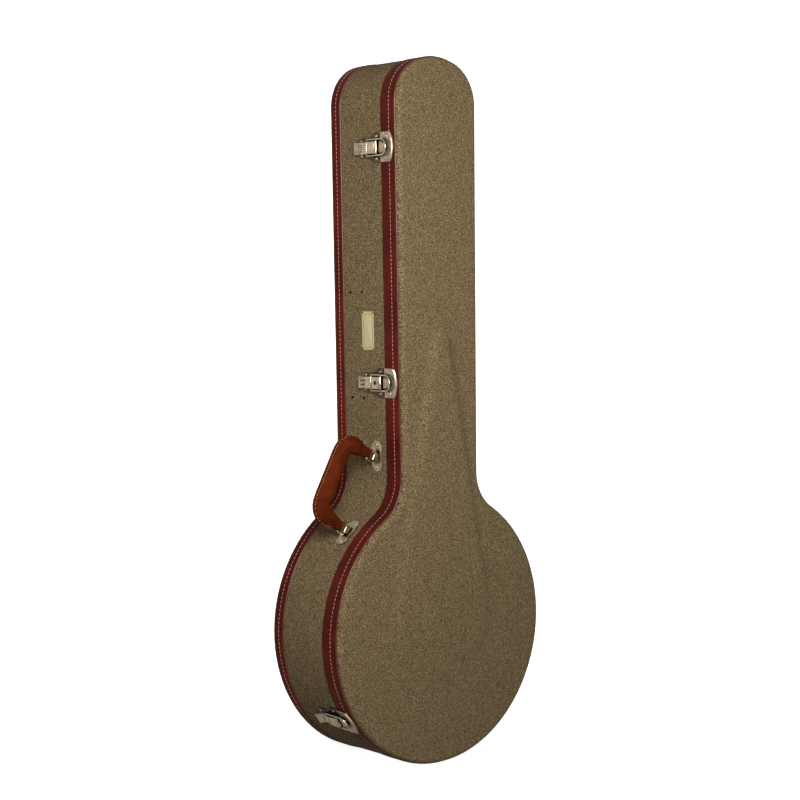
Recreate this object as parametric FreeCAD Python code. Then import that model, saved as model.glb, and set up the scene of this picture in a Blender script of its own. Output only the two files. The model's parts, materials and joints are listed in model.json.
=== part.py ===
import FreeCAD, Part
import math
import os

# A hard case for a full-size banjo, lying on its back with the lid on top.
# Origin: centre of the round bowl, on the face that the case rests on.
# +X runs towards the tail of the bowl, the neck runs towards -X.
# The latches and the handle are on the -Y side, the hinges on the +Y side.
# Lengths are in millimetres, angles in degrees.

Vector = FreeCAD.Vector

# Outline of the case, seen from above
bowl_radius = 204.0
neck_reach = 846.0
neck_half_width_root = 75.5
neck_half_width_tip = 79.5
throat_radius = 65.0
end_corner_radius = 66.0
end_arc_half_angle = 20.0

# Heights
base_height = 110.4
lid_wall_height = 33.0
parting_gap = 0.4
back_band_height = 21.5
lid_edge_radius = 7.0
lid_crown_height = 7.5

# Walls and coverings
ply_wall = 5.0
ply_panel = 5.0
covering = 0.8
band_proud = 1.0
lining = 1.5
lid_lining_thickness = 1.2
tongue_thickness = 2.5
tongue_reach = 6.0
tongue_depth = 30.0
tongue_clearance = 0.6
seat_gap = 0.3

# Raised spine on the lid
spine_rise = 6.0
spine_tail_rise = 1.2
spine_apex = 424.0
spine_apex_radius = 20.0
spine_tail = 20.0
spine_tail_radius = 98.0
spine_flank = 12.0
spine_root = 0.5
spine_room_margin = 2.5

# Padding and compartment inside
pot_ring_thickness = 15.4
pot_ring_height = 48.0
pot_pad_margin = 30.0
pot_pad_thickness = 8.0
neck_gate_half_width = 88.0
neck_rest_at = 562.0
neck_rest_length = 34.0
neck_rest_height = 72.0
neck_notch_half_width = 28.0
neck_notch_depth = 14.0
head_pad_at = 745.0
head_pad_length = 90.0
head_pad_height = 34.0
box_lower_at = 345.0
box_upper_at = 502.2
divider_thickness = 6.0
divider_height = 62.0
box_lid_thickness = 4.5
box_lid_clearance = 0.8
box_pivot_radius = 1.2
box_pivot_clearance = 0.08
box_pivot_length = 9.0
box_pivot_bore = 12.0
pull_tab_width = 16.0
pull_tab_length = 34.0
pull_tab_thickness = 1.8
pull_tab_set_in = 4.0
pull_tab_corner = 4.8
lid_pad_half_width = 32.0
lid_pad_depth = 18.0
lid_pad_edge_radius = 3.0

# Draw latches
latch_upper_at = 712.5
latch_lock_at = 369.0
latch_bowl_angle = -55.1
plate_thickness = 1.2
latch_half_width = 22.0
latch_narrow_half_width = 15.0
latch_plate_foot = 45.5
latch_flare_start = 24.0
latch_flare_end = 14.0
latch_edge_gap = 1.6
latch_foot_corner = 3.0
latch_flare_corner = 7.0
latch_edge_corner = 1.5
latch_screw_across = 16.0
latch_screw_down = 9.0
latch_foot_screw_across = 10.5
latch_foot_screw_down = 41.5
keeper_half_width = 21.5
keeper_foot = 1.2
keeper_corner = 23.5
keeper_tip = 29.5
keeper_screw_across = 15.3
keeper_screw_up = 13.0
catch_half_width = 8.5
catch_tip_half_width = 4.5
catch_shoulder = 5.0
catch_length = 13.5
catch_crest = 4.3
catch_foot_corner = 0.8
catch_shoulder_corner = 4.0
catch_tip_corner = 3.0
catch_edge_radius = 1.0
lever_half_width = 8.5
lever_pivot_out = 4.2
lever_pivot_down = 5.2
lever_barrel_radius = 2.7
lever_boss_out = 7.0
lever_boss_start = 6.0
lever_boss_corner = 2.0
lever_boss_end = 21.0
lever_boss_step = 1.6
lever_corner = 0.8
lever_back_out = 2.4
lever_back_start = 7.0
lever_back_corner = 0.5
lever_neck_out = 4.6
lever_curl_start = 37.5
lever_curl_bend = 4.0
lever_curl_lag = 0.5
lever_tip_down = 49.5
lever_tip_out = 9.0
lever_tip_rise = 2.0
lever_tip_lean = 0.8
lever_tip_width = 2.4
lever_tip_corner = 0.7
lever_tip_edge = 1.0
lever_slot_across = 3.0
lever_slot_half_width = 0.9
lever_slot_start = 4.5
lever_slot_end = 11.0
lever_groove_count = 4
lever_groove_pitch = 3.0
lever_groove_half_width = 0.6
lever_groove_depth = 0.6
lever_groove_reach = 3.0
lever_groove_low = 1.5
lever_groove_high = 3.5
lever_pin_radius = 1.2
ear_thickness = 1.4
ear_gap = 0.3
ear_radius = 2.9
loop_wire_radius = 1.1
loop_half_width = 11.6
loop_pivot_out = 4.4
loop_pivot_down = 25.5
loop_pivot_radius = 2.6
loop_end_up = 18.8
loop_over_catch = 0.5
loop_corner_radius = 2.2
loop_pin_inner = 4.0
running_clearance = 0.08
plug_radius = 3.0
plug_down = 13.5
plug_proud = 0.3
plug_depth = 3.2
keyway_width = 0.9
keyway_length = 3.8
keyway_depth = 2.2

# Handle
handle_past_throat = 30.5
handle_past_join = 10.0
handle_down = 19.9
handle_stand_off = 7.2
bracket_half_length = 23.0
bracket_half_height = 11.0
bracket_corner = 10.0
bracket_screw_across = 16.8
saddle_half_length = 6.0
saddle_half_height = 4.6
saddle_wall = 1.8
saddle_root = 18.0
saddle_edge_radius = 2.4
ring_wire_radius = 1.4
ring_half_width = 9.0
ring_depth = 11.0
ring_corner_radius = 1.9
grip_outer = 74.0
grip_inner = 50.0
grip_overhang = 13.0
grip_arm_inner = 12.0
grip_root_half_width = 7.2
grip_outer_corner = 27.0
grip_inner_corner = 13.0
grip_shoulder = 8.0
grip_shoulder_corner = 10.0
grip_root_corner = 3.0
grip_half_thickness = 8.5
grip_edge_radius = 3.0
grip_body_start = 19.0
tab_root = 4.0
tab_end_radius = 4.2
core_half_width = 5.0
core_half_thickness = 1.5
core_clearance = 0.2
core_start = 17.0

# Hinges on the side of the bowl
hinge_spread = 35.0
hinge_half_length = 22.0
hinge_leaf_thickness = 1.2
hinge_stand_off = 4.0
hinge_leaf_height = 26.0
knuckle_radius = 3.2
knuckle_count = 5
knuckle_gap = 0.3
hinge_pin_radius = 1.4
hinge_pin_head = 0.8
hinge_pin_head_rise = 0.8
hinge_web_rise = 2.0
hinge_screw_angle = 4.2
hinge_screw_down = 17.0

# Name plate and nails
name_plate_at = 445.4
name_plate_length = 57.0
name_plate_height = 26.5
name_plate_down = 35.1
name_plate_thickness = 0.8
name_plate_border = 3.6
name_plate_corner = 2.5
border_corner = 1.5
border_line_width = 0.5
border_line_depth = 0.25
divider_nail_down = 48.4
divider_nail_pitch = 26.2

# Screws and nails
screw_head_radius = 2.1
screw_head_height = 1.0
screw_shank_radius = 1.0
screw_reach = 4.0
nail_head_radius = 1.3
nail_head_height = 0.6
nail_shank_radius = 0.6
nail_reach = 3.0
divider_nail_head_radius = 2.4
divider_nail_reach = 16.0
hole_clearance = 0.1
hole_run_out = 0.4

# Sizes worked out from the ones above
covered_inset = band_proud
ply_inset = band_proud + covering
wall_inset = ply_inset + ply_wall
lined_inset = wall_inset + lining
lid_wall_inset = wall_inset - tongue_clearance
tongue_inset = wall_inset + tongue_thickness
lid_bottom = base_height + parting_gap
lid_edge = base_height + lid_wall_height
lid_top = lid_edge + lid_crown_height
panel_top = lid_top - covering
panel_bottom = panel_top - ply_panel
floor_level = covering + ply_panel
lined_floor = floor_level + lining
tongue_bottom = base_height - tongue_depth
tongue_top = base_height + tongue_reach
divider_top = lined_floor + divider_height
box_pivot_level = divider_top - box_lid_thickness / 2
hinge_axis_y = bowl_radius + hinge_stand_off
tweed_out = -band_proud
plate_front = tweed_out + plate_thickness
keeper_front = plate_thickness
loop_end_out = catch_crest + loop_over_catch + loop_wire_radius
tab_half_width = ring_half_width - ring_corner_radius - seat_gap
far = 2000.0
over = 1.0
tolerance = 0.01


def outline_frame():
    """Centres and directions of the outline's tangent arcs, in (along the neck, half width)."""
    slope = (neck_half_width_tip - neck_half_width_root) / (neck_reach - bowl_radius)
    angle = math.atan(slope)
    along = Vector(math.cos(angle), math.sin(angle), 0)
    outward = Vector(-math.sin(angle), math.cos(angle), 0)
    offset = Vector(bowl_radius, neck_half_width_root, 0).dot(outward)
    throat_side = offset + throat_radius
    throat_run = math.sqrt((bowl_radius + throat_radius) ** 2 - throat_side ** 2)
    throat = along * throat_run + outward * throat_side
    turn = math.radians(end_arc_half_angle)
    end_dir = Vector(math.cos(turn), math.sin(turn), 0)
    # the corner arc touches the neck line and the end arc, whose centre is on the axis
    side = offset - end_corner_radius
    lean = math.tan(turn / 2)
    corner_run = neck_reach - end_corner_radius + side * (along.y - lean * along.x)
    corner = along * (corner_run / (along.x + lean * along.y)) + outward * side
    end_centre = Vector(corner.x - corner.y / math.tan(turn), 0, 0)
    end_radius = neck_reach - end_centre.x
    return dict(along=along, outward=outward, offset=offset, throat=throat, corner=corner,
                end_dir=end_dir, end_centre=end_centre, end_radius=end_radius, angle=angle)


frame = outline_frame()


def unit(vector):
    return vector * (1.0 / vector.Length)


def to_plan(point, side, level):
    """A point given along the neck and half width, placed in the case's own axes."""
    return Vector(-point.x, side * point.y, level)


def outline(inset, level=0.0):
    """Closed outline of the case, moved inwards by inset, as lines and tangent arcs."""
    throat, corner = frame["throat"], frame["corner"]
    outward, end_dir = frame["outward"], frame["end_dir"]
    from_throat = unit(throat) * -1.0
    bowl_join = unit(throat) * (bowl_radius - inset)
    throat_mid = throat + unit(from_throat - outward) * (throat_radius + inset)
    neck_start = throat - outward * (throat_radius + inset)
    neck_end = corner + outward * (end_corner_radius - inset)
    corner_mid = corner + unit(outward + end_dir) * (end_corner_radius - inset)
    end_join = frame["end_centre"] + end_dir * (frame["end_radius"] - inset)
    end_tip = frame["end_centre"] + Vector(frame["end_radius"] - inset, 0, 0)
    bowl_tail = Vector(inset - bowl_radius, 0, 0)

    def place(point, side):
        return to_plan(point, side, level)

    edges = [Part.Arc(place(bowl_join, -1), place(bowl_tail, 1), place(bowl_join, 1)).toShape()]
    for side in (1, -1):
        points = [place(point, side) for point in (bowl_join, throat_mid, neck_start)]
        edges.append(Part.Arc(*points).toShape())
        edges.append(Part.LineSegment(place(neck_start, side), place(neck_end, side)).toShape())
        points = [place(point, side) for point in (neck_end, corner_mid, end_join)]
        edges.append(Part.Arc(*points).toShape())
    edges.append(Part.Arc(place(end_join, 1), place(end_tip, 1), place(end_join, -1)).toShape())
    return Part.Wire(Part.__sortEdges__(edges))


def slab(inset, low, high):
    """The space inside the outline at an inset, between two heights."""
    return Part.Face(outline(inset, low)).extrude(Vector(0, 0, high - low))


def ring(outer_inset, inner_inset, low, high):
    """A band that follows the outline between two insets."""
    return slab(outer_inset, low, high).cut(slab(inner_inset, low - over, high + over))


def box_between(low, high):
    size = high - low
    return Part.makeBox(size.x, size.y, size.z, low)


def across_neck(centre, length, low, high, inset):
    """A block across the inside of the neck, as wide as the room at that inset."""
    block = box_between(Vector(-centre - length / 2, -far, low), Vector(-centre + length / 2, far, high))
    return block.common(slab(inset, low, high))


def rounded_wire(corners, place):
    """Closed wire through (u, v, corner radius), each corner rounded by a tangent arc."""
    count = len(corners)
    spots = [Vector(u, v, 0) for u, v, _ in corners]
    edges = []
    ends = []
    for i in range(count):
        radius = corners[i][2]
        back = unit(spots[i - 1] - spots[i])
        ahead = unit(spots[(i + 1) % count] - spots[i])
        half = math.acos(max(-1.0, min(1.0, back.dot(ahead)))) / 2
        if radius <= 0:
            ends.append((spots[i], None, spots[i]))
            continue
        run = radius / math.tan(half)
        centre = spots[i] + unit(back + ahead) * (radius / math.sin(half))
        middle = centre - unit(back + ahead) * radius
        ends.append((spots[i] + back * run, middle, spots[i] + ahead * run))
    for i in range(count):
        start, middle, stop = ends[i]
        if middle is not None:
            edges.append(Part.Arc(place(start), place(middle), place(stop)).toShape())
        following = ends[(i + 1) % count][0]
        if (following - stop).Length > tolerance:
            edges.append(Part.LineSegment(place(stop), place(following)).toShape())
    return Part.Wire(edges)


def wall_plate(corners, inner, outer):
    """A plate on a side wall: corners in (along the wall, up), between two distances out."""
    wire = rounded_wire(corners, lambda p: Vector(p.x, -inner, p.y))
    return Part.Face(wire).extrude(Vector(0, inner - outer, 0))


def side_profile(corners, half_width):
    """A section in (out from the wall, up), carried along the wall."""
    wire = rounded_wire(corners, lambda p: Vector(-half_width, -p.x, p.y))
    return Part.Face(wire).extrude(Vector(2 * half_width, 0, 0))


def rod(start, stop, radius):
    return Part.makeCylinder(radius, (stop - start).Length, start, stop - start)


def neck_mount(reach):
    """Placement on the outer face of the neck's -Y wall, level with the parting line."""
    outward, offset = frame["outward"], frame["offset"]
    half_width = (offset - reach * outward.x) / outward.y
    turn = FreeCAD.Rotation(Vector(0, 0, 1), math.degrees(frame["angle"]))
    return FreeCAD.Placement(Vector(-reach, -half_width, base_height), turn)


def bowl_mount(angle):
    """Placement on the outer face of the bowl's wall, level with the parting line."""
    spot = Vector(bowl_radius, 0, 0)
    turn = FreeCAD.Rotation(Vector(0, 0, 1), angle)
    facing = FreeCAD.Rotation(Vector(0, 0, 1), angle + 90)
    return FreeCAD.Placement(turn.multVec(spot) + Vector(0, 0, base_height), facing)


def placed(shape, placement):
    moved = shape.copy()
    moved.Placement = placement.multiply(moved.Placement)
    return moved


def fuse(shapes):
    whole = shapes[0]
    for shape in shapes[1:]:
        whole = whole.fuse(shape)
    return whole.removeSplitter()


def domed_head(radius, height):
    """A round head standing on z = 0, as a section of a ball."""
    ball = (radius ** 2 + height ** 2) / (2 * height)
    top = Vector(0, 0, height)
    rim = Vector(radius, 0, 0)
    lean = math.asin(radius / ball) / 2
    middle = Vector(ball * math.sin(lean), 0, height - ball + ball * math.cos(lean))
    edges = [Part.Arc(rim, middle, top).toShape()]
    edges.append(Part.LineSegment(top, Vector(0, 0, 0)).toShape())
    edges.append(Part.LineSegment(Vector(0, 0, 0), rim).toShape())
    return Part.Face(Part.Wire(edges)).revolve(Vector(0, 0, 0), Vector(0, 0, 1), 360)


holes = []


def fastener(placement, across, up, seat, head, shank):
    """A screw or nail driven into a wall; its hole is kept for the pieces it passes through."""
    head_radius, head_height = head
    shank_radius, reach = shank
    body = domed_head(head_radius, head_height)
    body = body.fuse(Part.makeCylinder(shank_radius, reach, Vector(0, 0, -reach)))
    hole = Part.makeCylinder(shank_radius + hole_clearance, reach + hole_run_out,
                             Vector(0, 0, -reach - hole_run_out))
    lay = FreeCAD.Placement(Vector(across, -seat, up), FreeCAD.Rotation(Vector(1, 0, 0), 90))
    place = placement.multiply(lay)
    holes.append(placed(hole, place))
    return placed(body.removeSplitter(), place)


def drilled(shape):
    """A piece with the holes of the fasteners that pass through it."""
    box = shape.BoundBox
    near = [hole for hole in holes if box.intersect(hole.BoundBox)]
    if not near:
        return shape
    return shape.cut(near)


SCREW_HEAD = (screw_head_radius, screw_head_height)
SCREW_SHANK = (screw_shank_radius, screw_reach)
NAIL_HEAD = (nail_head_radius, nail_head_height)
NAIL_SHANK = (nail_shank_radius, nail_reach)
DIVIDER_NAIL_HEAD = (divider_nail_head_radius, screw_head_height)
DIVIDER_NAIL_SHANK = (screw_shank_radius, divider_nail_reach)
base_wall = slab(covered_inset, -far, base_height)
lid_wall = slab(0.0, 0.0, far)


def latch_plate(placement):
    """The part of a draw latch that is screwed to the base, with ears for the lever's pin."""
    wide, narrow = latch_half_width, latch_narrow_half_width
    right = [(narrow, -latch_plate_foot, latch_foot_corner), (narrow, -latch_flare_start, latch_flare_corner),
             (wide, -latch_flare_end, latch_flare_corner), (wide, -latch_edge_gap, latch_edge_corner)]
    left = [(-across, up, corner) for across, up, corner in reversed(right)]
    plate = wall_plate(right + left, tweed_out - 2 * plate_thickness, plate_front)
    parts = [plate]
    inner = lever_half_width + ear_gap
    for side in (-1, 1):
        low = min(side * inner, side * (inner + ear_thickness))
        foot = box_between(Vector(low, -lever_pivot_out, -lever_pivot_down - ear_radius),
                           Vector(low + ear_thickness, -tweed_out, -lever_pivot_down + ear_radius))
        eye = Part.makeCylinder(ear_radius, ear_thickness,
                                Vector(low, -lever_pivot_out, -lever_pivot_down), Vector(1, 0, 0))
        parts += [foot, eye]
    shape = fuse(parts)
    reach = inner + ear_thickness + over
    hole = rod(Vector(-reach, -lever_pivot_out, -lever_pivot_down),
               Vector(reach, -lever_pivot_out, -lever_pivot_down), lever_pin_radius)
    return placed(shape.cut(hole), placement).cut(base_wall)


def lever_pin(placement):
    reach = lever_half_width + ear_gap + ear_thickness
    start = Vector(-reach, -lever_pivot_out, -lever_pivot_down)
    stop = Vector(reach, -lever_pivot_out, -lever_pivot_down)
    return placed(rod(start, stop, lever_pin_radius), placement)


def latch_screws(placement):
    spots = [(latch_screw_across, -latch_screw_down), (latch_foot_screw_across, -latch_foot_screw_down)]
    return [fastener(placement, side * across, up, plate_front, SCREW_HEAD, SCREW_SHANK)
            for across, up in spots for side in (-1, 1)]


def keeper(placement):
    """The part of a draw latch on the lid: a plate with a raised catch for the loop."""
    wide = keeper_half_width
    back = -2 * plate_thickness

    def at(across, up):
        return Vector(across, -back, up)

    edges = [Part.LineSegment(at(-wide, keeper_foot), at(wide, keeper_foot)).toShape()]
    edges.append(Part.LineSegment(at(wide, keeper_foot), at(wide, keeper_corner)).toShape())
    edges.append(Part.Arc(at(wide, keeper_corner), at(0, keeper_tip), at(-wide, keeper_corner)).toShape())
    edges.append(Part.LineSegment(at(-wide, keeper_corner), at(-wide, keeper_foot)).toShape())
    plate = Part.Face(Part.Wire(edges)).extrude(Vector(0, back - keeper_front, 0))
    right = [(catch_half_width, keeper_foot, catch_foot_corner),
             (catch_half_width, keeper_foot + catch_shoulder, catch_shoulder_corner),
             (catch_tip_half_width, keeper_foot + catch_length, catch_tip_corner)]
    left = [(-across, up, corner) for across, up, corner in reversed(right)]
    catch = wall_plate(right + left, 0.0, catch_crest)
    crown = [edge for edge in catch.Edges if edge.BoundBox.YMax < tolerance - catch_crest]
    catch = catch.makeFillet(catch_edge_radius, crown)
    return placed(fuse([plate, catch]), placement).cut(lid_wall)


def keeper_screws(placement):
    return [fastener(placement, side * keeper_screw_across, keeper_screw_up, keeper_front, SCREW_HEAD,
                     SCREW_SHANK) for side in (-1, 1)]


def lever(placement, style):
    """The lever that is pulled outwards: barrel, flat boss, neck and curled finger tip."""
    corners = [(lever_boss_out, -lever_boss_start, lever_boss_corner),
               (lever_boss_out, -lever_boss_end, lever_corner),
               (lever_neck_out, -lever_boss_end - lever_boss_step, lever_corner),
               (lever_neck_out, -lever_curl_start, lever_curl_bend),
               (lever_tip_out, -lever_tip_down + lever_tip_rise, lever_tip_edge),
               (lever_tip_out - lever_tip_lean, -lever_tip_down, lever_tip_corner),
               (lever_tip_out - lever_tip_width, -lever_tip_down + lever_tip_lean, lever_tip_corner),
               (lever_back_out, -lever_curl_start - lever_curl_lag, lever_curl_bend),
               (lever_back_out, -lever_back_start, lever_back_corner)]
    blade = side_profile(corners, lever_half_width)
    span = 2 * lever_half_width
    left = -lever_half_width
    barrel = Part.makeCylinder(lever_barrel_radius, span, Vector(left, -lever_pivot_out, -lever_pivot_down),
                               Vector(1, 0, 0))
    loop_seat = Part.makeCylinder(loop_pivot_radius, span, Vector(left, -loop_pivot_out, -loop_pivot_down),
                                  Vector(1, 0, 0))
    shape = fuse([blade, barrel, loop_seat])
    reach = lever_half_width + over
    shape = shape.cut(rod(Vector(-reach, -lever_pivot_out, -lever_pivot_down),
                          Vector(reach, -lever_pivot_out, -lever_pivot_down),
                          lever_pin_radius + running_clearance))
    for side in (-1, 1):
        shape = shape.cut(rod(Vector(side * reach, -loop_pivot_out, -loop_pivot_down),
                              Vector(side * (loop_pin_inner - seat_gap), -loop_pivot_out, -loop_pivot_down),
                              loop_wire_radius + running_clearance))
    if style == "lock":
        shape = shape.cut(rod(Vector(0, -lever_boss_out - over, -plug_down),
                              Vector(0, -lever_boss_out + plug_depth, -plug_down),
                              plug_radius + running_clearance))
        for side in (-1, 1):
            left = side * lever_slot_across - lever_slot_half_width
            low = lever_slot_start - lever_tip_down
            slot = box_between(Vector(left, -far, low),
                               Vector(left + 2 * lever_slot_half_width, 0, lever_slot_end - lever_tip_down))
            shape = shape.cut(slot)
    else:
        for step in range(lever_groove_count):
            left = (step - (lever_groove_count - 1) / 2) * lever_groove_pitch - lever_groove_half_width
            low = -lever_curl_start - lever_groove_low
            high = -lever_curl_start + lever_groove_high
            right = left + 2 * lever_groove_half_width
            groove = box_between(Vector(left, -lever_neck_out - lever_groove_reach, low),
                                 Vector(right, lever_groove_depth - lever_neck_out, high))
            shape = shape.cut(groove)
    return placed(shape, placement)


def lock_plug(placement):
    front = lever_boss_out + plug_proud
    plug = rod(Vector(0, -lever_boss_out + plug_depth - seat_gap, -plug_down), Vector(0, -front, -plug_down),
               plug_radius)
    keyway = box_between(Vector(-keyway_length / 2, -front - over, -plug_down - keyway_width / 2),
                         Vector(keyway_length / 2, -front + keyway_depth, -plug_down + keyway_width / 2))
    return placed(plug.cut(keyway), placement)


def latch_loop(placement):
    """The wire loop: two pins in the lever, two legs, and a half round end past the catch."""
    rise = Vector(0, -loop_end_out + loop_pivot_out, loop_end_up + loop_pivot_down)
    up = unit(rise)
    foot = Vector(0, -loop_pivot_out, -loop_pivot_down)
    across = Vector(1, 0, 0)
    bend = loop_corner_radius
    bow = loop_half_width
    leg_top = rise.Length - loop_wire_radius - bow

    def at(u, v):
        return foot + across * u + up * v

    slant = math.sqrt(0.5)
    edges = [Part.LineSegment(at(-loop_pin_inner, 0), at(-bow + bend, 0)).toShape()]
    edges.append(Part.Arc(at(-bow + bend, 0), at(-bow + bend - bend * slant, bend - bend * slant),
                          at(-bow, bend)).toShape())
    edges.append(Part.LineSegment(at(-bow, bend), at(-bow, leg_top)).toShape())
    edges.append(Part.Arc(at(-bow, leg_top), at(0, leg_top + bow), at(bow, leg_top)).toShape())
    edges.append(Part.LineSegment(at(bow, leg_top), at(bow, bend)).toShape())
    edges.append(Part.Arc(at(bow, bend), at(bow - bend + bend * slant, bend - bend * slant),
                          at(bow - bend, 0)).toShape())
    edges.append(Part.LineSegment(at(bow - bend, 0), at(loop_pin_inner, 0)).toShape())
    return placed(swept(Part.Wire(edges), loop_wire_radius), placement)


def swept(path, radius):
    """Round wire of one radius along a path of lines and tangent arcs."""
    first = path.OrderedEdges[0]
    start = first.valueAt(first.FirstParameter)
    heading = first.tangentAt(first.FirstParameter)
    circle = Part.Wire(Part.Circle(start, heading, radius).toShape())
    return path.makePipeShell([circle], True, False)


def handle_mounts():
    """The two bracket places, one on the neck and one on the bowl, either side of the throat."""
    throat = frame["throat"]
    neck_start = throat.x - frame["outward"].x * throat_radius
    join_angle = math.degrees(math.atan2(throat.y, throat.x))
    return neck_mount(neck_start + handle_past_throat), bowl_mount(join_angle + handle_past_join - 180)


def handle_frame():
    """Placement whose X axis is the handle's hinge line and whose -Y points away from the case."""
    level = Vector(0, -handle_stand_off, -handle_down)
    upper_bracket, lower_bracket = handle_mounts()
    upper = upper_bracket.multVec(level)
    lower = lower_bracket.multVec(level)
    line = lower - upper
    turn = FreeCAD.Rotation(Vector(0, 0, 1), math.degrees(math.atan2(line.y, line.x)))
    return FreeCAD.Placement((upper + lower) * 0.5, turn), line.Length / 2


handle_place, handle_half_span = handle_frame()


def handle_bracket(placement, side):
    """A plate on the wall with a saddle that the handle's ring turns in."""
    low, high = -handle_down - bracket_half_height, -handle_down + bracket_half_height
    corners = [(-bracket_half_length, low, bracket_corner), (bracket_half_length, low, bracket_corner),
               (bracket_half_length, high, bracket_corner), (-bracket_half_length, high, bracket_corner)]
    plate = placed(wall_plate(corners, tweed_out - 3 * plate_thickness, plate_front), placement)
    bore = ring_wire_radius + running_clearance
    centre = side * handle_half_span
    block = box_between(Vector(centre - saddle_half_length, -bore - saddle_wall, -saddle_half_height),
                        Vector(centre + saddle_half_length, saddle_root, saddle_half_height))
    lip = [edge for edge in block.Edges
           if edge.BoundBox.YMax < -bore and edge.BoundBox.XLength > saddle_half_length]
    block = block.makeFillet(saddle_edge_radius, lip)
    eye = rod(Vector(centre - saddle_half_length - over, 0, 0),
              Vector(centre + saddle_half_length + over, 0, 0), bore)
    saddle = placed(block.cut(eye), handle_place)
    return fuse([plate, saddle]).cut(base_wall)


def bracket_screws(placement):
    return [fastener(placement, side * bracket_screw_across, -handle_down, plate_front, SCREW_HEAD,
                     SCREW_SHANK) for side in (-1, 1)]


def handle_ring(side):
    """A closed wire ring, one bar in the saddle and one in the end of the grip."""
    centre = side * handle_half_span
    left, right = centre - ring_half_width, centre + ring_half_width
    bend = ring_corner_radius
    corners = [(centre, 0, 0), (right, 0, bend), (right, ring_depth, bend), (left, ring_depth, bend),
               (left, 0, bend)]
    path = rounded_wire(corners, lambda p: Vector(p.x, -p.y, 0))
    return placed(swept(path, ring_wire_radius), handle_place)


def staple(corners, half_thickness):
    """A flat shape in the handle's plane, with equal thickness either side of it."""
    wire = rounded_wire(corners, lambda p: Vector(p.x, -p.y, -half_thickness))
    return Part.Face(wire).extrude(Vector(0, 0, 2 * half_thickness))


def grip_strap(clearance):
    """The line of the strap inside the grip, grown by a clearance all round."""
    middle = (grip_outer + grip_inner) / 2
    bend = (grip_outer_corner + grip_inner_corner) / 2
    reach = core_half_width + clearance
    start = core_start - clearance
    outer, inner = handle_half_span + reach, handle_half_span - reach
    corners = [(-outer, start, 0), (-outer, middle + reach, bend + reach),
               (outer, middle + reach, bend + reach), (outer, start, 0),
               (inner, start, 0), (inner, middle - reach, bend - reach),
               (-inner, middle - reach, bend - reach), (-inner, start, 0)]
    return staple(corners, core_half_thickness + clearance)


def handle_core():
    """The steel strap inside the grip, bent to the line of the grip."""
    return placed(grip_strap(0.0), handle_place)


def handle_grip():
    """The padded leather grip, a staple shape with a tab at each end round the ring."""
    span = handle_half_span
    outer = span + grip_overhang
    inner = span - grip_arm_inner
    shoulder = grip_inner - grip_shoulder
    right = [(inner, grip_inner, grip_inner_corner),
             (span - grip_root_half_width, grip_body_start, grip_root_corner),
             (span + grip_root_half_width, grip_body_start, grip_root_corner),
             (outer, shoulder, grip_shoulder_corner), (outer, grip_outer, grip_outer_corner)]
    left = [(-across, out, corner) for across, out, corner in reversed(right)]
    body = staple(right + left, grip_half_thickness)
    rims = [edge for edge in body.Edges if edge.BoundBox.ZLength < tolerance]
    body = body.makeFillet(grip_edge_radius, rims)
    parts = [body]
    for side in (-1, 1):
        centre = side * span
        half = tab_half_width
        tab = box_between(Vector(centre - half, -grip_body_start - tab_root, -tab_end_radius),
                          Vector(centre + half, -ring_depth, tab_end_radius))
        left, right = Vector(centre - half, -ring_depth, 0), Vector(centre + half, -ring_depth, 0)
        parts += [tab, rod(left, right, tab_end_radius)]
    shape = fuse(parts)
    for side in (-1, 1):
        centre = side * span
        eye = rod(Vector(centre - ring_half_width, -ring_depth, 0),
                  Vector(centre + ring_half_width, -ring_depth, 0), ring_wire_radius + running_clearance)
        shape = shape.cut(eye)
    return placed(shape.cut(grip_strap(core_clearance)), handle_place)


def hinge_spans():
    """The stretches of one hinge's length that each knuckle takes."""
    pitch = 2 * hinge_half_length / knuckle_count
    starts = [-hinge_half_length + pitch * i for i in range(knuckle_count)]
    return [(start + knuckle_gap / 2, start + pitch - knuckle_gap / 2) for start in starts]


def hinge_leaf(centre, on_lid):
    """One leaf: a plate bent to the bowl's wall, webs, and every second knuckle."""
    wall = bowl_radius if on_lid else bowl_radius - band_proud
    low, high = (lid_bottom + seat_gap, lid_bottom + hinge_leaf_height)
    if not on_lid:
        low, high = (base_height - hinge_leaf_height, base_height - seat_gap)
    shell = Part.makeCylinder(wall + hinge_leaf_thickness, high - low, Vector(0, 0, low))
    shell = shell.cut(Part.makeCylinder(wall, high - low + 2 * over, Vector(0, 0, low - over)))
    strip = box_between(Vector(centre - hinge_half_length, 0, low - over),
                        Vector(centre + hinge_half_length, far, high + over))
    parts = [shell.common(strip)]
    web_reach = knuckle_radius + hinge_web_rise
    web_low, web_high = (lid_bottom + seat_gap, base_height + web_reach)
    if not on_lid:
        web_low, web_high = (base_height - web_reach, base_height - seat_gap)
    for i, (start, stop) in enumerate(hinge_spans()):
        if (i % 2 == 1) != on_lid:
            continue
        web = box_between(Vector(centre + start, 0, web_low), Vector(centre + stop, hinge_axis_y, web_high))
        parts.append(web.cut(Part.makeCylinder(wall, far, Vector(0, 0, 0))))
        parts.append(rod(Vector(centre + start, hinge_axis_y, base_height),
                         Vector(centre + stop, hinge_axis_y, base_height), knuckle_radius))
    clearance = running_clearance if on_lid else 0.0
    eye = rod(Vector(centre - hinge_half_length - over, hinge_axis_y, base_height),
              Vector(centre + hinge_half_length + over, hinge_axis_y, base_height),
              hinge_pin_radius + clearance)
    return fuse(parts).cut(eye)


def hinge_pin(centre):
    """The pin through one hinge, with a small head at each end."""
    half = hinge_half_length

    def at(across):
        return Vector(centre + across, hinge_axis_y, base_height)

    head_radius = hinge_pin_radius + hinge_pin_head_rise
    heads = [rod(at(side * half), at(side * (half + hinge_pin_head)), head_radius) for side in (-1, 1)]
    return fuse([rod(at(-half), at(half), hinge_pin_radius)] + heads)


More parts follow.
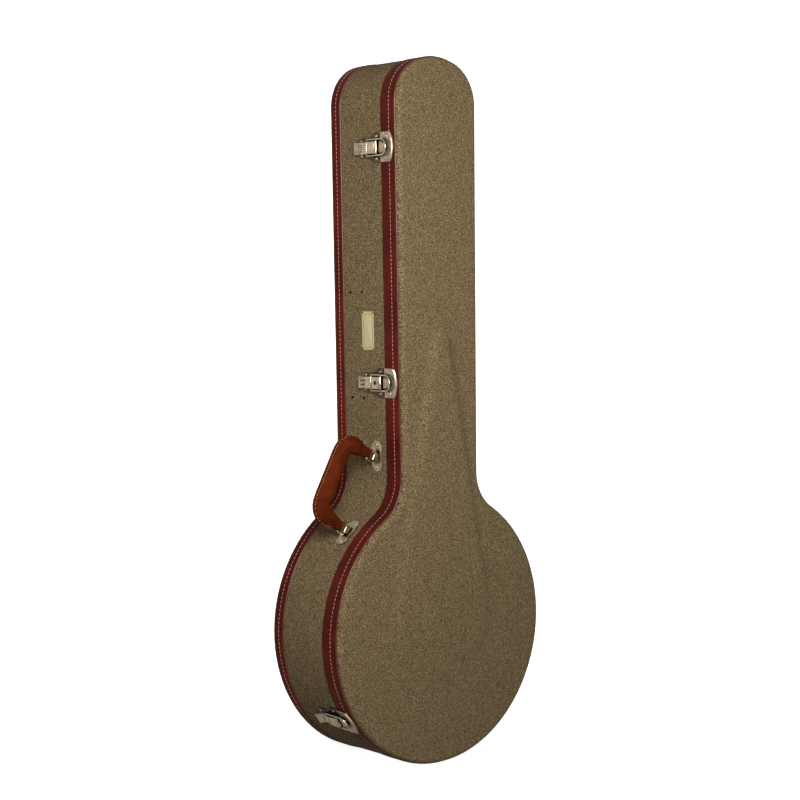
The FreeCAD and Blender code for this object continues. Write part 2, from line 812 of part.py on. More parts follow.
def hinge_screws(on_lid):
    """Three screws in each leaf, square to the bowl's wall."""
    screws = []
    rise = hinge_screw_down if on_lid else -hinge_screw_down
    seat = hinge_leaf_thickness if on_lid else hinge_leaf_thickness - band_proud
    for side in (-1, 1):
        middle = 90.0 - side * math.degrees(math.asin(hinge_spread / bowl_radius))
        for step in (-1, 0, 1):
            place = bowl_mount(middle + step * hinge_screw_angle)
            screws.append(fastener(place, 0, rise, seat, SCREW_HEAD, SCREW_SHANK))
    return screws


def plate_nails(placement):
    """A small nail in each corner of the name plate."""
    across = name_plate_length / 2 - name_plate_border / 2
    rise = name_plate_height / 2 - name_plate_border / 2
    seat = tweed_out + name_plate_thickness
    return [fastener(placement, x * across, z * rise - name_plate_down, seat, NAIL_HEAD, NAIL_SHANK)
            for x in (-1, 1) for z in (-1, 1)]


def name_plate(placement):
    """A bare plate with an engraved border line."""
    def rectangle(margin, radius):
        half = name_plate_length / 2 - margin
        rise = name_plate_height / 2 - margin
        return [(x * half, -name_plate_down + z * rise, radius)
                for x, z in ((-1, -1), (1, -1), (1, 1), (-1, 1))]

    front = tweed_out + name_plate_thickness
    plate = wall_plate(rectangle(0.0, name_plate_corner), tweed_out - name_plate_thickness, front)
    groove_floor = front - border_line_depth
    outer = wall_plate(rectangle(name_plate_border, border_corner), groove_floor, front + over)
    inner = wall_plate(rectangle(name_plate_border + border_line_width, border_corner - border_line_width),
                       groove_floor - over, front + 2 * over)
    return placed(plate.cut(outer.cut(inner)), placement).cut(base_wall)


def divider_nails():
    """Two nails through each long wall into each end of the box's dividers."""
    nails = []
    for reach in (box_lower_at, box_upper_at):
        left = neck_mount(reach)
        right_turn = FreeCAD.Rotation(Vector(0, 0, 1), 180 - math.degrees(frame["angle"]))
        right = FreeCAD.Placement(Vector(left.Base.x, -left.Base.y, left.Base.z), right_turn)
        for place in (left, right):
            for step in (0, 1):
                down = divider_nail_down + step * divider_nail_pitch
                nails.append(fastener(place, 0, -down, tweed_out, DIVIDER_NAIL_HEAD, DIVIDER_NAIL_SHANK))
    return nails


def spine(top, grow):
    """The raised spine over a flat top: wide and low at the bowl, narrow and high at the neck."""
    fall = (spine_rise - spine_tail_rise) / (spine_apex - spine_tail)

    def place(point, side, level, slope):
        return to_plan(point, side, level + slope * (point.x - spine_tail))

    def plan(level, slope, apex_radius, tail_radius):
        lean = math.asin((tail_radius - apex_radius) / (spine_apex - spine_tail))
        touch = Vector(math.sin(lean), math.cos(lean), 0)
        apex = Vector(spine_apex, 0, 0)
        tail = Vector(spine_tail, 0, 0)
        near, distant = apex + touch * apex_radius, tail + touch * tail_radius
        tip, end = apex + Vector(apex_radius, 0, 0), tail - Vector(tail_radius, 0, 0)
        left_near, right_near = place(near, -1, level, slope), place(near, 1, level, slope)
        left_far, right_far = place(distant, -1, level, slope), place(distant, 1, level, slope)
        edges = [Part.Arc(left_near, place(tip, 1, level, slope), right_near).toShape()]
        edges.append(Part.LineSegment(right_near, right_far).toShape())
        edges.append(Part.Arc(right_far, place(end, 1, level, slope), left_far).toShape())
        edges.append(Part.LineSegment(left_far, left_near).toShape())
        return Part.Wire(edges)

    foot = plan(top - spine_root, 0.0, spine_apex_radius + grow, spine_tail_radius + grow)
    crest = plan(top + spine_tail_rise, fall, spine_apex_radius + grow - spine_flank,
                 spine_tail_radius + grow - spine_flank)
    return Part.makeLoft([foot, crest], True, True)


def crowned(inset, radius, top):
    """The lid's outer shape above its wall: a slab with a rolled edge and the spine on it."""
    body = slab(inset, lid_edge, top)
    rims = [edge for edge in body.Edges if edge.BoundBox.ZMin > top - tolerance]
    body = body.makeFillet(radius, rims)
    return body.fuse(spine(top, covered_inset - inset)).removeSplitter()


def lid_shell_parts():
    """The covering over the lid and the plywood panel under it."""
    outer = crowned(covered_inset, lid_edge_radius, lid_top)
    under = crowned(ply_inset, lid_edge_radius - covering, panel_top)
    tweed = outer.cut(under)
    room = slab(lid_wall_inset, lid_edge - over, panel_bottom)
    room = room.fuse(spine(panel_bottom, -spine_room_margin))
    return tweed, under.cut(room)


def pot_ring():
    """The foam ring round the bowl, open towards the neck."""
    outer = bowl_radius - lined_inset - seat_gap
    body = Part.makeCylinder(outer, pot_ring_height, Vector(0, 0, lined_floor))
    body = body.cut(Part.makeCylinder(outer - pot_ring_thickness, pot_ring_height + 2 * over,
                                      Vector(0, 0, lined_floor - over)))
    gate = box_between(Vector(-far, -neck_gate_half_width, 0), Vector(0, neck_gate_half_width, far))
    return body.cut(gate)


def pot_pad():
    """The flat pad on the floor in the middle of the bowl."""
    radius = bowl_radius - lined_inset - seat_gap - pot_ring_thickness - pot_pad_margin
    return Part.makeCylinder(radius, pot_pad_thickness, Vector(0, 0, lined_floor))


def neck_rest():
    """The padded cradle for the neck, notched in the middle."""
    body = across_neck(neck_rest_at, neck_rest_length, lined_floor, lined_floor + neck_rest_height,
                       lined_inset + seat_gap)
    half = neck_rest_length
    notch = box_between(Vector(-neck_rest_at - half, -neck_notch_half_width,
                               lined_floor + neck_rest_height - neck_notch_depth),
                        Vector(-neck_rest_at + half, neck_notch_half_width, far))
    return body.cut(notch)


def headstock_pad():
    """The block that the back of the headstock lies on."""
    return across_neck(head_pad_at, head_pad_length, lined_floor, lined_floor + head_pad_height,
                       lined_inset + seat_gap)


def box_pivot_y():
    """Distance of the compartment lid's pivot from the middle of the neck."""
    half_width = neck_half_width_root - lined_inset
    return half_width - box_lid_thickness / 2 - box_lid_clearance - tongue_thickness


def box_pivot(start, stop, radius):
    """A length of the compartment lid's pivot line, between two places along the neck."""
    return rod(Vector(start, box_pivot_y(), box_pivot_level), Vector(stop, box_pivot_y(), box_pivot_level),
               radius)


def box_divider(reach):
    """A divider across the neck, with a hole for the compartment lid's pivot pin."""
    body = across_neck(reach, divider_thickness, lined_floor, divider_top, lined_inset)
    return body.cut(box_pivot(-reach - divider_thickness, -reach + divider_thickness, box_pivot_radius))


def box_lid():
    """The compartment's lid, between the dividers, its back edge rounded about the pivots."""
    start = -box_upper_at + divider_thickness / 2 + box_lid_clearance
    stop = -box_lower_at - divider_thickness / 2 - box_lid_clearance
    low, high = divider_top - box_lid_thickness, divider_top
    body = box_between(Vector(start, -far, low), Vector(stop, box_pivot_y(), high))
    body = body.common(slab(lined_inset + box_lid_clearance, low, high))
    body = fuse([body, box_pivot(start, stop, box_lid_thickness / 2)])
    bore = box_pivot_radius + box_pivot_clearance
    body = body.cut(box_pivot(start - over, start + box_pivot_bore, bore))
    return body.cut(box_pivot(stop - box_pivot_bore, stop + over, bore))


def box_pivots():
    """A short pin through each divider into the end of the compartment lid."""
    pins = []
    for reach, side in ((box_upper_at, 1), (box_lower_at, -1)):
        start = -reach - side * divider_thickness / 2
        stop = start + side * (divider_thickness + box_lid_clearance + box_pivot_length)
        pins.append(box_pivot(start, stop, box_pivot_radius))
    return pins


def pull_tab():
    """A leather tab on the compartment lid's free edge."""
    middle = -(box_lower_at + box_upper_at) / 2
    edge = -neck_half_width_root + lined_inset + box_lid_clearance + pull_tab_set_in
    low = Vector(middle - pull_tab_width / 2, edge, divider_top)
    tab = box_between(low, low + Vector(pull_tab_width, pull_tab_length, pull_tab_thickness))
    uprights = [side for side in tab.Edges if side.BoundBox.ZLength > pull_tab_thickness / 2]
    return tab.makeFillet(pull_tab_corner, uprights)


def lid_lining():
    """The plush inside the lid: a sheet under the panel and a band down the wall."""
    start = tongue_top + lid_lining_thickness
    body = slab(lid_wall_inset, start, panel_bottom)
    inside = lid_wall_inset + lid_lining_thickness
    return body.cut(slab(inside, start - over, panel_bottom - lid_lining_thickness))


def lid_neck_pad():
    """The pad in the lid that holds the neck down on its rest."""
    top = panel_bottom - lid_lining_thickness
    half = neck_rest_length / 2
    pad = box_between(Vector(-neck_rest_at - half, -lid_pad_half_width, top - lid_pad_depth),
                      Vector(-neck_rest_at + half, lid_pad_half_width, top))
    lower = [edge for edge in pad.Edges if edge.BoundBox.ZMax < top - tolerance]
    return pad.makeFillet(lid_pad_edge_radius, lower)


def base_lining():
    """The plush tray inside the base."""
    tray = slab(wall_inset, floor_level, tongue_bottom)
    return tray.cut(slab(lined_inset, lined_floor, tongue_bottom + over))


def build():
    """Every piece of the case, as node name and shape."""
    places = {"upper": neck_mount(latch_upper_at), "lock": neck_mount(latch_lock_at),
              "bowl": bowl_mount(latch_bowl_angle)}
    upper_bracket, lower_bracket = handle_mounts()
    badge = neck_mount(name_plate_at)
    screws = {"latch_plate_screws": [], "keeper_screws": []}
    for place in places.values():
        screws["latch_plate_screws"] += latch_screws(place)
        screws["keeper_screws"] += keeper_screws(place)
    screws["handle_bracket_screws"] = bracket_screws(upper_bracket) + bracket_screws(lower_bracket)
    screws["hinge_screws_base"] = hinge_screws(False)
    screws["hinge_screws_lid"] = hinge_screws(True)
    screws["name_plate_nails"] = plate_nails(badge)
    screws["divider_nails"] = divider_nails()
    tweed, panel = lid_shell_parts()
    hinge_centres = (-hinge_spread, hinge_spread)
    nodes = {
        "base_back_tweed": slab(0.0, 0.0, covering),
        "base_panel": slab(ply_inset, covering, floor_level),
        "base_rim": drilled(ring(ply_inset, wall_inset, floor_level, base_height)),
        "back_binding": ring(0.0, ply_inset, covering, back_band_height),
        "base_side_tweed": drilled(ring(covered_inset, ply_inset, back_band_height, base_height)),
        "rim_tongue": ring(wall_inset, tongue_inset, tongue_bottom, tongue_top),
        "base_lining": drilled(base_lining()),
        "pot_ring": pot_ring(),
        "pot_pad": pot_pad(),
        "neck_rest": neck_rest(),
        "headstock_pad": headstock_pad(),
        "divider_upper": drilled(box_divider(box_upper_at)),
        "divider_lower": drilled(box_divider(box_lower_at)),
        "accessory_lid": box_lid(),
        "accessory_pull_tab": pull_tab(),
        "accessory_pivot_pins": Part.makeCompound(box_pivots()),
        "lid_rim": drilled(ring(ply_inset, lid_wall_inset, lid_bottom, lid_edge)),
        "lid_binding": drilled(ring(0.0, ply_inset, lid_bottom, lid_edge)),
        "lid_panel": panel,
        "lid_tweed": tweed,
        "lid_lining": lid_lining(),
        "lid_neck_pad": lid_neck_pad(),
        "handle_bracket_upper": drilled(handle_bracket(upper_bracket, -1)),
        "handle_bracket_lower": drilled(handle_bracket(lower_bracket, 1)),
        "handle_ring_upper": handle_ring(-1),
        "handle_ring_lower": handle_ring(1),
        "handle_grip": handle_grip(),
        "handle_core": handle_core(),
        "name_plate": drilled(name_plate(badge)),
        "hinge_leaves_base": drilled(Part.makeCompound([hinge_leaf(x, False) for x in hinge_centres])),
        "hinge_leaves_lid": drilled(Part.makeCompound([hinge_leaf(x, True) for x in hinge_centres])),
        "hinge_pins": Part.makeCompound([hinge_pin(x) for x in hinge_centres]),
        "lever_pins": Part.makeCompound([lever_pin(place) for place in places.values()]),
        "lock_plug": lock_plug(places["lock"]),
    }
    for name, place in places.items():
        nodes["latch_plate_" + name] = drilled(latch_plate(place))
        nodes["keeper_" + name] = drilled(keeper(place))
        nodes["lever_" + name] = lever(place, name)
        nodes["latch_loop_" + name] = latch_loop(place)
    for name, pieces in screws.items():
        nodes[name] = Part.makeCompound(pieces)
    return nodes


def write(nodes):
    os.makedirs("parts", exist_ok=True)
    for name, shape in sorted(nodes.items()):
        shape.exportStep("parts/" + name + ".step")
        box = shape.BoundBox
        print(name, "solids", len(shape.Solids), "valid", shape.isValid(), "volume", round(shape.Volume),
              "x", round(box.XMin, 1), round(box.XMax, 1), "y", round(box.YMin, 1), round(box.YMax, 1),
              "z", round(box.ZMin, 1), round(box.ZMax, 1))


write(build())
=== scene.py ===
# %% [markdown]
# # A hard case for a banjo
# The case lies on its back. It has a round bowl for the pot of the banjo and a long straight neck.
# The walls and lid are covered in tweed cloth, and burgundy leathercloth binds the edges.
# The solids of the model come in first as a fixed frame, and everything here is laid over them.
# Lengths are in metres. The neck points along -X, the latches and handle are on the -Y side.

# %% Load the frame
import json
import math
import random
from collections import namedtuple

import bmesh
import bpy
from mathutils import Matrix, Vector


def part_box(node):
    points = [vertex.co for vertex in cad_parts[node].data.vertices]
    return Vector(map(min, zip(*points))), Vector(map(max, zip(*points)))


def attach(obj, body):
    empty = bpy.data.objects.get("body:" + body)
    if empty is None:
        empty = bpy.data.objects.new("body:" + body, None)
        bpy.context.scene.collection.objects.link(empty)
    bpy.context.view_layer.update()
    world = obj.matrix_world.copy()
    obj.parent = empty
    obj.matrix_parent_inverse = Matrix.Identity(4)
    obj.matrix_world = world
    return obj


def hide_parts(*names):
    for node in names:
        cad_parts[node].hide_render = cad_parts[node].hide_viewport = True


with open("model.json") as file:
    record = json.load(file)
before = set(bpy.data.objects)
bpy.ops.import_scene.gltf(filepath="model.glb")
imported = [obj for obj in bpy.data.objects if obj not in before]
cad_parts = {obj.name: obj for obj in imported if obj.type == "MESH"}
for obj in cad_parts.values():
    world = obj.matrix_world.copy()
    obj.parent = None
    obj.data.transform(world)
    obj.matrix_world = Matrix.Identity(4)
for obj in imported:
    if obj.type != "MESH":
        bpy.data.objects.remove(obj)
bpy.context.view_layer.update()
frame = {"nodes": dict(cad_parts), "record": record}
nodes = frame["nodes"]
print("loaded", len(nodes), "nodes")

# %% [markdown]
# ## Sizes
# These are the same sizes as in the solids, so that every cover lies on its wall.
# The outline could be traced point by point, but a real case is bent round forms,
# so arcs and straight walls that meet smoothly describe all of it with a few sizes.

# %% Sizes of the case
MM = 0.001
BOWL_RADIUS = 204.0 * MM
NECK_REACH = 846.0 * MM
HALF_WIDTH_ROOT = 75.5 * MM
HALF_WIDTH_TIP = 79.5 * MM
THROAT_RADIUS = 65.0 * MM
CORNER_RADIUS = 66.0 * MM
END_HALF_ANGLE = math.radians(20.0)
LID_TOP = 150.9 * MM
UP = Vector((0.0, 0.0, 1.0))
NOWHERE = Vector((0.0, 0.0, 0.0))
print("the case is", round((BOWL_RADIUS + NECK_REACH) / MM), "mm long")

# %% The straight wall and the arcs it runs between, in (along the neck, half width)
WALL_ANGLE = math.atan((HALF_WIDTH_TIP - HALF_WIDTH_ROOT) / (NECK_REACH - BOWL_RADIUS))
ALONG_WALL = Vector((math.cos(WALL_ANGLE), math.sin(WALL_ANGLE)))
OFF_WALL = Vector((-math.sin(WALL_ANGLE), math.cos(WALL_ANGLE)))
wall_offset = Vector((BOWL_RADIUS, HALF_WIDTH_ROOT)).dot(OFF_WALL)
throat_side = wall_offset + THROAT_RADIUS
throat_run = math.sqrt((BOWL_RADIUS + THROAT_RADIUS) ** 2 - throat_side ** 2)
throat_centre = ALONG_WALL * throat_run + OFF_WALL * throat_side
corner_side = wall_offset - CORNER_RADIUS
lean = math.tan(END_HALF_ANGLE / 2)
corner_run = NECK_REACH - CORNER_RADIUS + corner_side * (ALONG_WALL.y - lean * ALONG_WALL.x)
corner_centre = ALONG_WALL * (corner_run / (ALONG_WALL.x + lean * ALONG_WALL.y)) + OFF_WALL * corner_side
end_centre = Vector((corner_centre.x - corner_centre.y / math.tan(END_HALF_ANGLE), 0.0))
JOIN = math.atan2(throat_centre.y, throat_centre.x)
STRAIGHT = (corner_centre - throat_centre).dot(ALONG_WALL)
print("straight wall", round(STRAIGHT / MM, 1), "mm")

# %% The stretches of the outline, from the tail of the bowl to the end of the neck
# An arc turns from its start angle. Its bulge is 1 where it bends outwards and -1 at the throat.
Arc = namedtuple("Arc", "centre radius start turn bulge")
QUARTER = math.pi / 2 + WALL_ANGLE
BOWL = Arc(Vector((0.0, 0.0)), BOWL_RADIUS, math.pi, math.pi - JOIN, 1)
THROAT = Arc(throat_centre, THROAT_RADIUS, JOIN + math.pi, QUARTER - JOIN, -1)
CORNER = Arc(corner_centre, CORNER_RADIUS, QUARTER, QUARTER - END_HALF_ANGLE, 1)
END = Arc(end_centre, NECK_REACH - end_centre.x, END_HALF_ANGLE, END_HALF_ANGLE, 1)
STRETCHES = [(BOWL, 60), (THROAT, 12), (None, 40), (CORNER, 16), (END, 12)]
print("the end of the neck is an arc of", round(END.radius / MM), "mm")

# %% [markdown]
# ## A band swept round the outline
# On the real case each cover is a strip of material glued round the wall.
# A curve with a bevel could give the same band, but its corners would bunch up.
# So a flat section is carried round: turned about each arc's centre, then pushed along the wall.
# One half is made on the -Y side and mirrored, so both halves agree exactly.


# %% Sweep a section round the case
def flip(point):
    """A point of the outline on the -Y side, in the case's axes."""
    return Vector((-point.x, -point.y, 0.0))


def round_the_case(bm, edges):
    """Sweeps edges that stand at the tail of the bowl round the -Y half of the case."""
    for arc, steps in STRETCHES:
        centre = flip(arc.centre) if arc else NOWHERE
        turn = -arc.bulge * arc.turn if arc else 0.0
        push = NOWHERE if arc else flip(ALONG_WALL) * STRAIGHT
        result = bmesh.ops.spin(bm, geom=edges, cent=centre, axis=UP, dvec=push / steps, angle=turn,
                                steps=steps, use_duplicate=False)
        edges = [e for e in result["geom_last"] if isinstance(e, bmesh.types.BMEdge)]
    for vert in {v for edge in edges for v in edge.verts}:
        vert.co.y = 0.0


WELD_DISTANCE = 1e-6


def mirror_half(bm):
    """Adds the +Y half of the case to the -Y half."""
    bmesh.ops.mirror(bm, geom=bm.verts[:] + bm.edges[:] + bm.faces[:], matrix=Matrix.Identity(4),
                     merge_dist=WELD_DISTANCE, axis="Y")


print("the outline has", len(STRETCHES), "stretches on each side")

# %% [markdown]
# Woven cloth must run true along the wall, so a band gets texture coordinates of its own:
# how far round the case a point lies, and how far up the section.
# The same walk round the outline later gives the place of every stitch.


# %% Distance along the wall
def angle_about(point, centre):
    local = point - centre
    return math.atan2(local.y, local.x)


def distance_round(x, y):
    """Distance along the wall from the tail of the bowl, the same on both sides."""
    point = Vector((-x, abs(y)))
    turn = angle_about(point, BOWL.centre)
    if turn >= JOIN:
        return BOWL.radius * (math.pi - turn)
    done = BOWL.radius * BOWL.turn
    run = (point - THROAT.centre).dot(ALONG_WALL)
    if run < 0.0:
        swing = angle_about(point, THROAT.centre) + math.pi - JOIN
        return done + THROAT.radius * (swing % (2 * math.pi))
    done += THROAT.radius * THROAT.turn
    if run < STRAIGHT:
        return done + run
    done += STRAIGHT
    swing = angle_about(point, CORNER.centre)
    if swing > END_HALF_ANGLE:
        return done + CORNER.radius * (CORNER.start - swing)
    done += CORNER.radius * CORNER.turn
    return done + END.radius * (END_HALF_ANGLE - angle_about(point, END.centre))


def place_on_wall(distance, inset, z):
    """The point at a distance along the -Y wall, and the direction out of the wall there."""
    for arc, _ in STRETCHES:
        length = arc.radius * arc.turn if arc else STRAIGHT
        if distance < length or arc is END:
            break
        distance -= length
    if arc:
        angle = arc.start - arc.bulge * distance / arc.radius
        out = Vector((math.cos(angle), math.sin(angle))) * arc.bulge
        spot = arc.centre + out * (arc.bulge * arc.radius - inset)
    else:
        out = OFF_WALL
        spot = THROAT.centre + ALONG_WALL * distance - out * (THROAT.radius + inset)
    return Vector((-spot.x, -spot.y, z)), flip(out)


HALF_ROUND = distance_round(-NECK_REACH, 0.0)
print("half way round is", round(HALF_ROUND / MM), "mm")


# %% From a section to a finished cover
def section_loop(bm, section, layer):
    """Edges through (inset, height) points in mm at the tail of the bowl, marked with the way up them."""
    points = [(inset * MM, z * MM) for inset, z in section]
    verts = []
    reach = 0.0
    for i, (inset, z) in enumerate(points):
        if i:
            reach += math.dist(points[i - 1], points[i])
        vert = bm.verts.new((BOWL_RADIUS - inset, 0.0, z))
        vert[layer] = reach
        verts.append(vert)
    return [bm.edges.new(pair) for pair in zip(verts, verts[1:])]


def finish_mesh(bm, name, smooth_angle=40.0):
    """Turns the work mesh into an object with outward normals and smooth faces."""
    bmesh.ops.recalc_face_normals(bm, faces=bm.faces[:])
    mesh = bpy.data.meshes.new(name)
    bm.to_mesh(mesh)
    bm.free()
    piece = bpy.data.objects.new(name, mesh)
    bpy.context.scene.collection.objects.link(piece)
    mesh.shade_smooth()
    mesh.set_sharp_from_angle(angle=math.radians(smooth_angle))
    print(name, len(mesh.polygons), "faces")
    return piece


def cover_band(name, section):
    """A cover swept all round the case, with its own texture coordinates in metres."""
    bm = bmesh.new()
    layer = bm.verts.layers.float.new("up_section")
    round_the_case(bm, section_loop(bm, section, layer))
    mirror_half(bm)
    uv = bm.loops.layers.uv.new("cloth")
    for face in bm.faces:
        side = 1.0 if face.calc_center_median().y < 0.0 else -1.0
        for loop in face.loops:
            co = loop.vert.co
            loop[uv].uv = (side * distance_round(co.x, co.y), loop.vert[layer])
    return finish_mesh(bm, name)


print("a section is set at", sum(steps for _, steps in STRETCHES) + 1, "places on each side")

# %% [markdown]
# ## Covers and bindings
# The tweed runs up the side between the two bindings and is tucked under both of them.
# The bindings are leathercloth over a soft filler, so their faces bulge a little,
# the row of stitches pulls a groove into them, and their edges are turned in.
# Each section is drawn as points of (inset from the outline, height) in mm.

# %% Tweed on the side
TWEED_INSET = 1.0
TWEED_LOW = 20.8
TWEED_HIGH = 110.3
TWEED_TUCK = 0.9


def rounded(start, corner, stop, steps=5):
    """Points of a quarter curve from start to stop, bending near the corner."""
    points = []
    for i in range(steps + 1):
        t = i / steps
        shares = ((1 - t) ** 2, 2 * t * (1 - t), t ** 2)
        points.append(tuple(sum(s * p for s, p in zip(shares, axis)) for axis in zip(start, corner, stop)))
    return points


side_section = [(TWEED_INSET + 0.8, TWEED_LOW)]
side_section += [(TWEED_INSET, z) for z in (TWEED_LOW, 45.0, 70.0, 95.0)]
side_section += rounded((TWEED_INSET, TWEED_HIGH - TWEED_TUCK), (TWEED_INSET, TWEED_HIGH),
                        (TWEED_INSET + TWEED_TUCK, TWEED_HIGH))
side_tweed = cover_band("side_tweed_cover", side_section)

# %% The two bindings
BACK_BAND_TOP = 19.6
LID_BAND_TOP = 141.2
BACK_STITCHES_Z = 10.8
LID_STITCHES_Z = 129.5
GROOVE_DEPTH = 0.35


def groove(z, half_width):
    """The dip that a row of stitches pulls into a binding."""
    return [(0.0, z - half_width), (GROOVE_DEPTH, z - 0.4), (GROOVE_DEPTH, z + 0.4), (0.0, z + half_width)]


def turned_edge(inset, top):
    """The upper edge of a binding, turned in over its own thickness."""
    return [(inset, top - 1.0), (0.6, top - 0.2), (1.4, top), (1.7, top - 0.6)]


back_section = [(14.0, 0.5), (13.4, 0.05), (3.0, 0.02)] + rounded((2.6, 0.02), (0.0, 0.02), (0.0, 2.8))
back_section += [(-0.05, 6.0)] + groove(BACK_STITCHES_Z, 1.6)
back_section += [(-0.05, 15.0)] + turned_edge(0.05, BACK_BAND_TOP)
back_band = cover_band("back_band_cover", back_section)

lid_section = [(1.9, 111.0)] + rounded((1.3, 110.85), (0.15, 110.85), (0.1, 112.2))
lid_section += [(-0.05, 118.0), (-0.08, 124.0)] + groove(LID_STITCHES_Z, 1.5)
lid_section += [(-0.1, 135.0)] + turned_edge(0.0, LID_BAND_TOP)
lid_band = cover_band("lid_band_cover", lid_section)

# %% [markdown]
# A thin shining cord is sewn in along the upper edge of each binding and hides the join to the tweed.
# It could be a line in the material, but a round cord catches the light, so it is a swept piece too.

# %% Cords along the bindings
PIPING_RADIUS = 1.05
PIPING_INSET = 0.85


def piping_section(z):
    """A round cord's section, open at the back where it is sewn in."""
    turns = [math.radians(a) for a in range(-80, 111, 19)]
    return [(PIPING_INSET - PIPING_RADIUS * math.cos(turn), z + PIPING_RADIUS * math.sin(turn))
            for turn in turns]


back_piping = cover_band("back_band_piping", piping_section(BACK_BAND_TOP + 0.8))
lid_piping = cover_band("lid_band_piping", piping_section(LID_BAND_TOP + 1.0))

# %% [markdown]
# ## Cloth over the lid
# The lid's cloth rolls over the edge, then lies flat but for a raised spine, where the board is bent up.
# The spine is narrow at the neck, widens over the bowl and fades out there.
# Sculpting it would leave no sizes to read, so it is a formula of the place on the lid:
# the lid's face is cut into a grid of planes, and each corner is raised by the spine's height.

# %% Height of the spine
SPINE_RISE = 6.0 * MM
SPINE_TAIL_RISE = 2.3 * MM
SPINE_APEX_X = -424.0 * MM
SPINE_APEX_RADIUS = 20.0 * MM
SPINE_TAIL_X = -20.0 * MM
SPINE_TAIL_RADIUS = 98.0 * MM
SPINE_FLANK = 14.0 * MM
SPINE_FOOT = -5.0 * MM


def eased(value, low, high):
    """0 at low, 1 at high, with soft ends between."""
    t = min(1.0, max(0.0, (value - low) / (high - low)))
    return t * t * (3.0 - 2.0 * t)


def spine_height(x, y):
    """Height of the raised spine over the flat lid: highest at the neck, nearly flat over the bowl."""
    length = SPINE_TAIL_X - SPINE_APEX_X
    widening = (SPINE_TAIL_RADIUS - SPINE_APEX_RADIUS) / length
    t = min(1.0, max(0.0, (x - SPINE_APEX_X + widening * abs(y)) / length))
    centre = SPINE_APEX_X + length * t
    inside = SPINE_APEX_RADIUS + (SPINE_TAIL_RADIUS - SPINE_APEX_RADIUS) * t - math.hypot(x - centre, y)
    fall = (SPINE_RISE - SPINE_TAIL_RISE) / length
    rise = SPINE_TAIL_RISE + fall * (SPINE_TAIL_X - x)
    return max(0.0, rise) * eased(inside, SPINE_FOOT, SPINE_FLANK)


print("the spine is", round(spine_height(SPINE_APEX_X, 0.0) / MM, 2), "mm high at its upper end")

# %% Lid cover
LID_ROLL = 7.0
ROLL_STEPS = 9
GRID_STEP = 5.0 * MM


def on_top(point):
    return point.z > LID_TOP - 0.01 * MM


def cut_top(bm, axis, low, high):
    """Cuts the flat top of the lid with a row of planes."""
    for i in range(1, round((high - low) / GRID_STEP)):
        geom = [f for f in bm.faces if on_top(f.calc_center_median())]
        around = list({e for f in geom for e in f.edges} | {v for f in geom for v in f.verts}) + geom
        spot = axis * (low + i * GRID_STEP)
        bmesh.ops.bisect_plane(bm, geom=around, dist=1e-7, plane_co=spot, plane_no=axis)


def lid_cover():
    """The rolled edge swept round the case, closed by a top that carries the spine."""
    bm = bmesh.new()
    layer = bm.verts.layers.float.new("up_section")
    roll_low = LID_TOP / MM - LID_ROLL
    section = [(TWEED_INSET + TWEED_TUCK, roll_low - 1.0), (TWEED_INSET, roll_low - 0.9),
               (TWEED_INSET, roll_low)]
    for i in range(1, ROLL_STEPS + 1):
        turn = math.pi / 2 * i / ROLL_STEPS
        section.append((TWEED_INSET + LID_ROLL * (1 - math.cos(turn)), roll_low + LID_ROLL * math.sin(turn)))
    round_the_case(bm, section_loop(bm, section, layer))
    mirror_half(bm)
    rim = [e for e in bm.edges if e.is_boundary and on_top(e.verts[0].co) and on_top(e.verts[1].co)]
    bmesh.ops.contextual_create(bm, geom=rim)
    cut_top(bm, Vector((1, 0, 0)), -NECK_REACH, BOWL_RADIUS)
    cut_top(bm, Vector((0, 1, 0)), -BOWL_RADIUS, BOWL_RADIUS)
    uv = bm.loops.layers.uv.new("cloth")
    for vert in bm.verts:
        if on_top(vert.co):
            vert.co.z += spine_height(vert.co.x, vert.co.y)
    for face in bm.faces:
        for loop in face.loops:
            loop[uv].uv = (loop.vert.co.x, loop.vert.co.y)
    return finish_mesh(bm, "lid_cloth_cover", 60.0)


lid_cloth = lid_cover()

# %% [markdown]
# ## Stitching on the bindings
# Each binding is sewn down by one row of thick thread, a little off the middle of the band.
# A stitch is a small flattened bead laid along the wall, with few faces because there are hundreds.
# Chance shifts and tilts each one a little, as a sewing machine does, and a fixed seed repeats it.

# %% Rows of stitches
STITCH_PITCH = 6.2 * MM
STITCH_SIZE = (0.5 * MM, 0.42 * MM, 2.3 * MM)
STITCH_INSET = 0.25 * MM
STITCH_SHIFT = 0.1
STITCH_TILT = 0.08


def add_bead(bm, place, out, up, along, size):
    """Adds a bead as a stitch: how far it stands out, its width, and half its length."""
    axes = Matrix((out * size[0], up * size[1], along * size[2])).transposed()
    lay = Matrix.Translation(place) @ axes.to_4x4()
    bmesh.ops.create_uvsphere(bm, u_segments=6, v_segments=4, radius=1.0, matrix=lay)


def stitch_row(name, z, seed):
    """A row of stitches all the way round the case."""
    luck = random.Random(seed)
    bm = bmesh.new()
    for i in range(int(2 * HALF_ROUND / STITCH_PITCH)):
        distance = (i + 0.5) * STITCH_PITCH
        far_side = distance > HALF_ROUND
        distance = 2 * HALF_ROUND - distance if far_side else distance
        height = z * MM + luck.uniform(-STITCH_SHIFT, STITCH_SHIFT) * MM
        spot, out = place_on_wall(distance, STITCH_INSET, height)
        if far_side:
            spot.y, out.y = -spot.y, -out.y
        tilt = Matrix.Rotation(luck.uniform(-STITCH_TILT, STITCH_TILT), 3, out)
        add_bead(bm, spot, out, tilt @ UP, tilt @ UP.cross(out), STITCH_SIZE)
    return finish_mesh(bm, name, 80.0)


lid_stitches = stitch_row("lid_band_stitches", LID_STITCHES_Z, 11)
back_stitches = stitch_row("back_band_stitches", BACK_STITCHES_Z, 12)

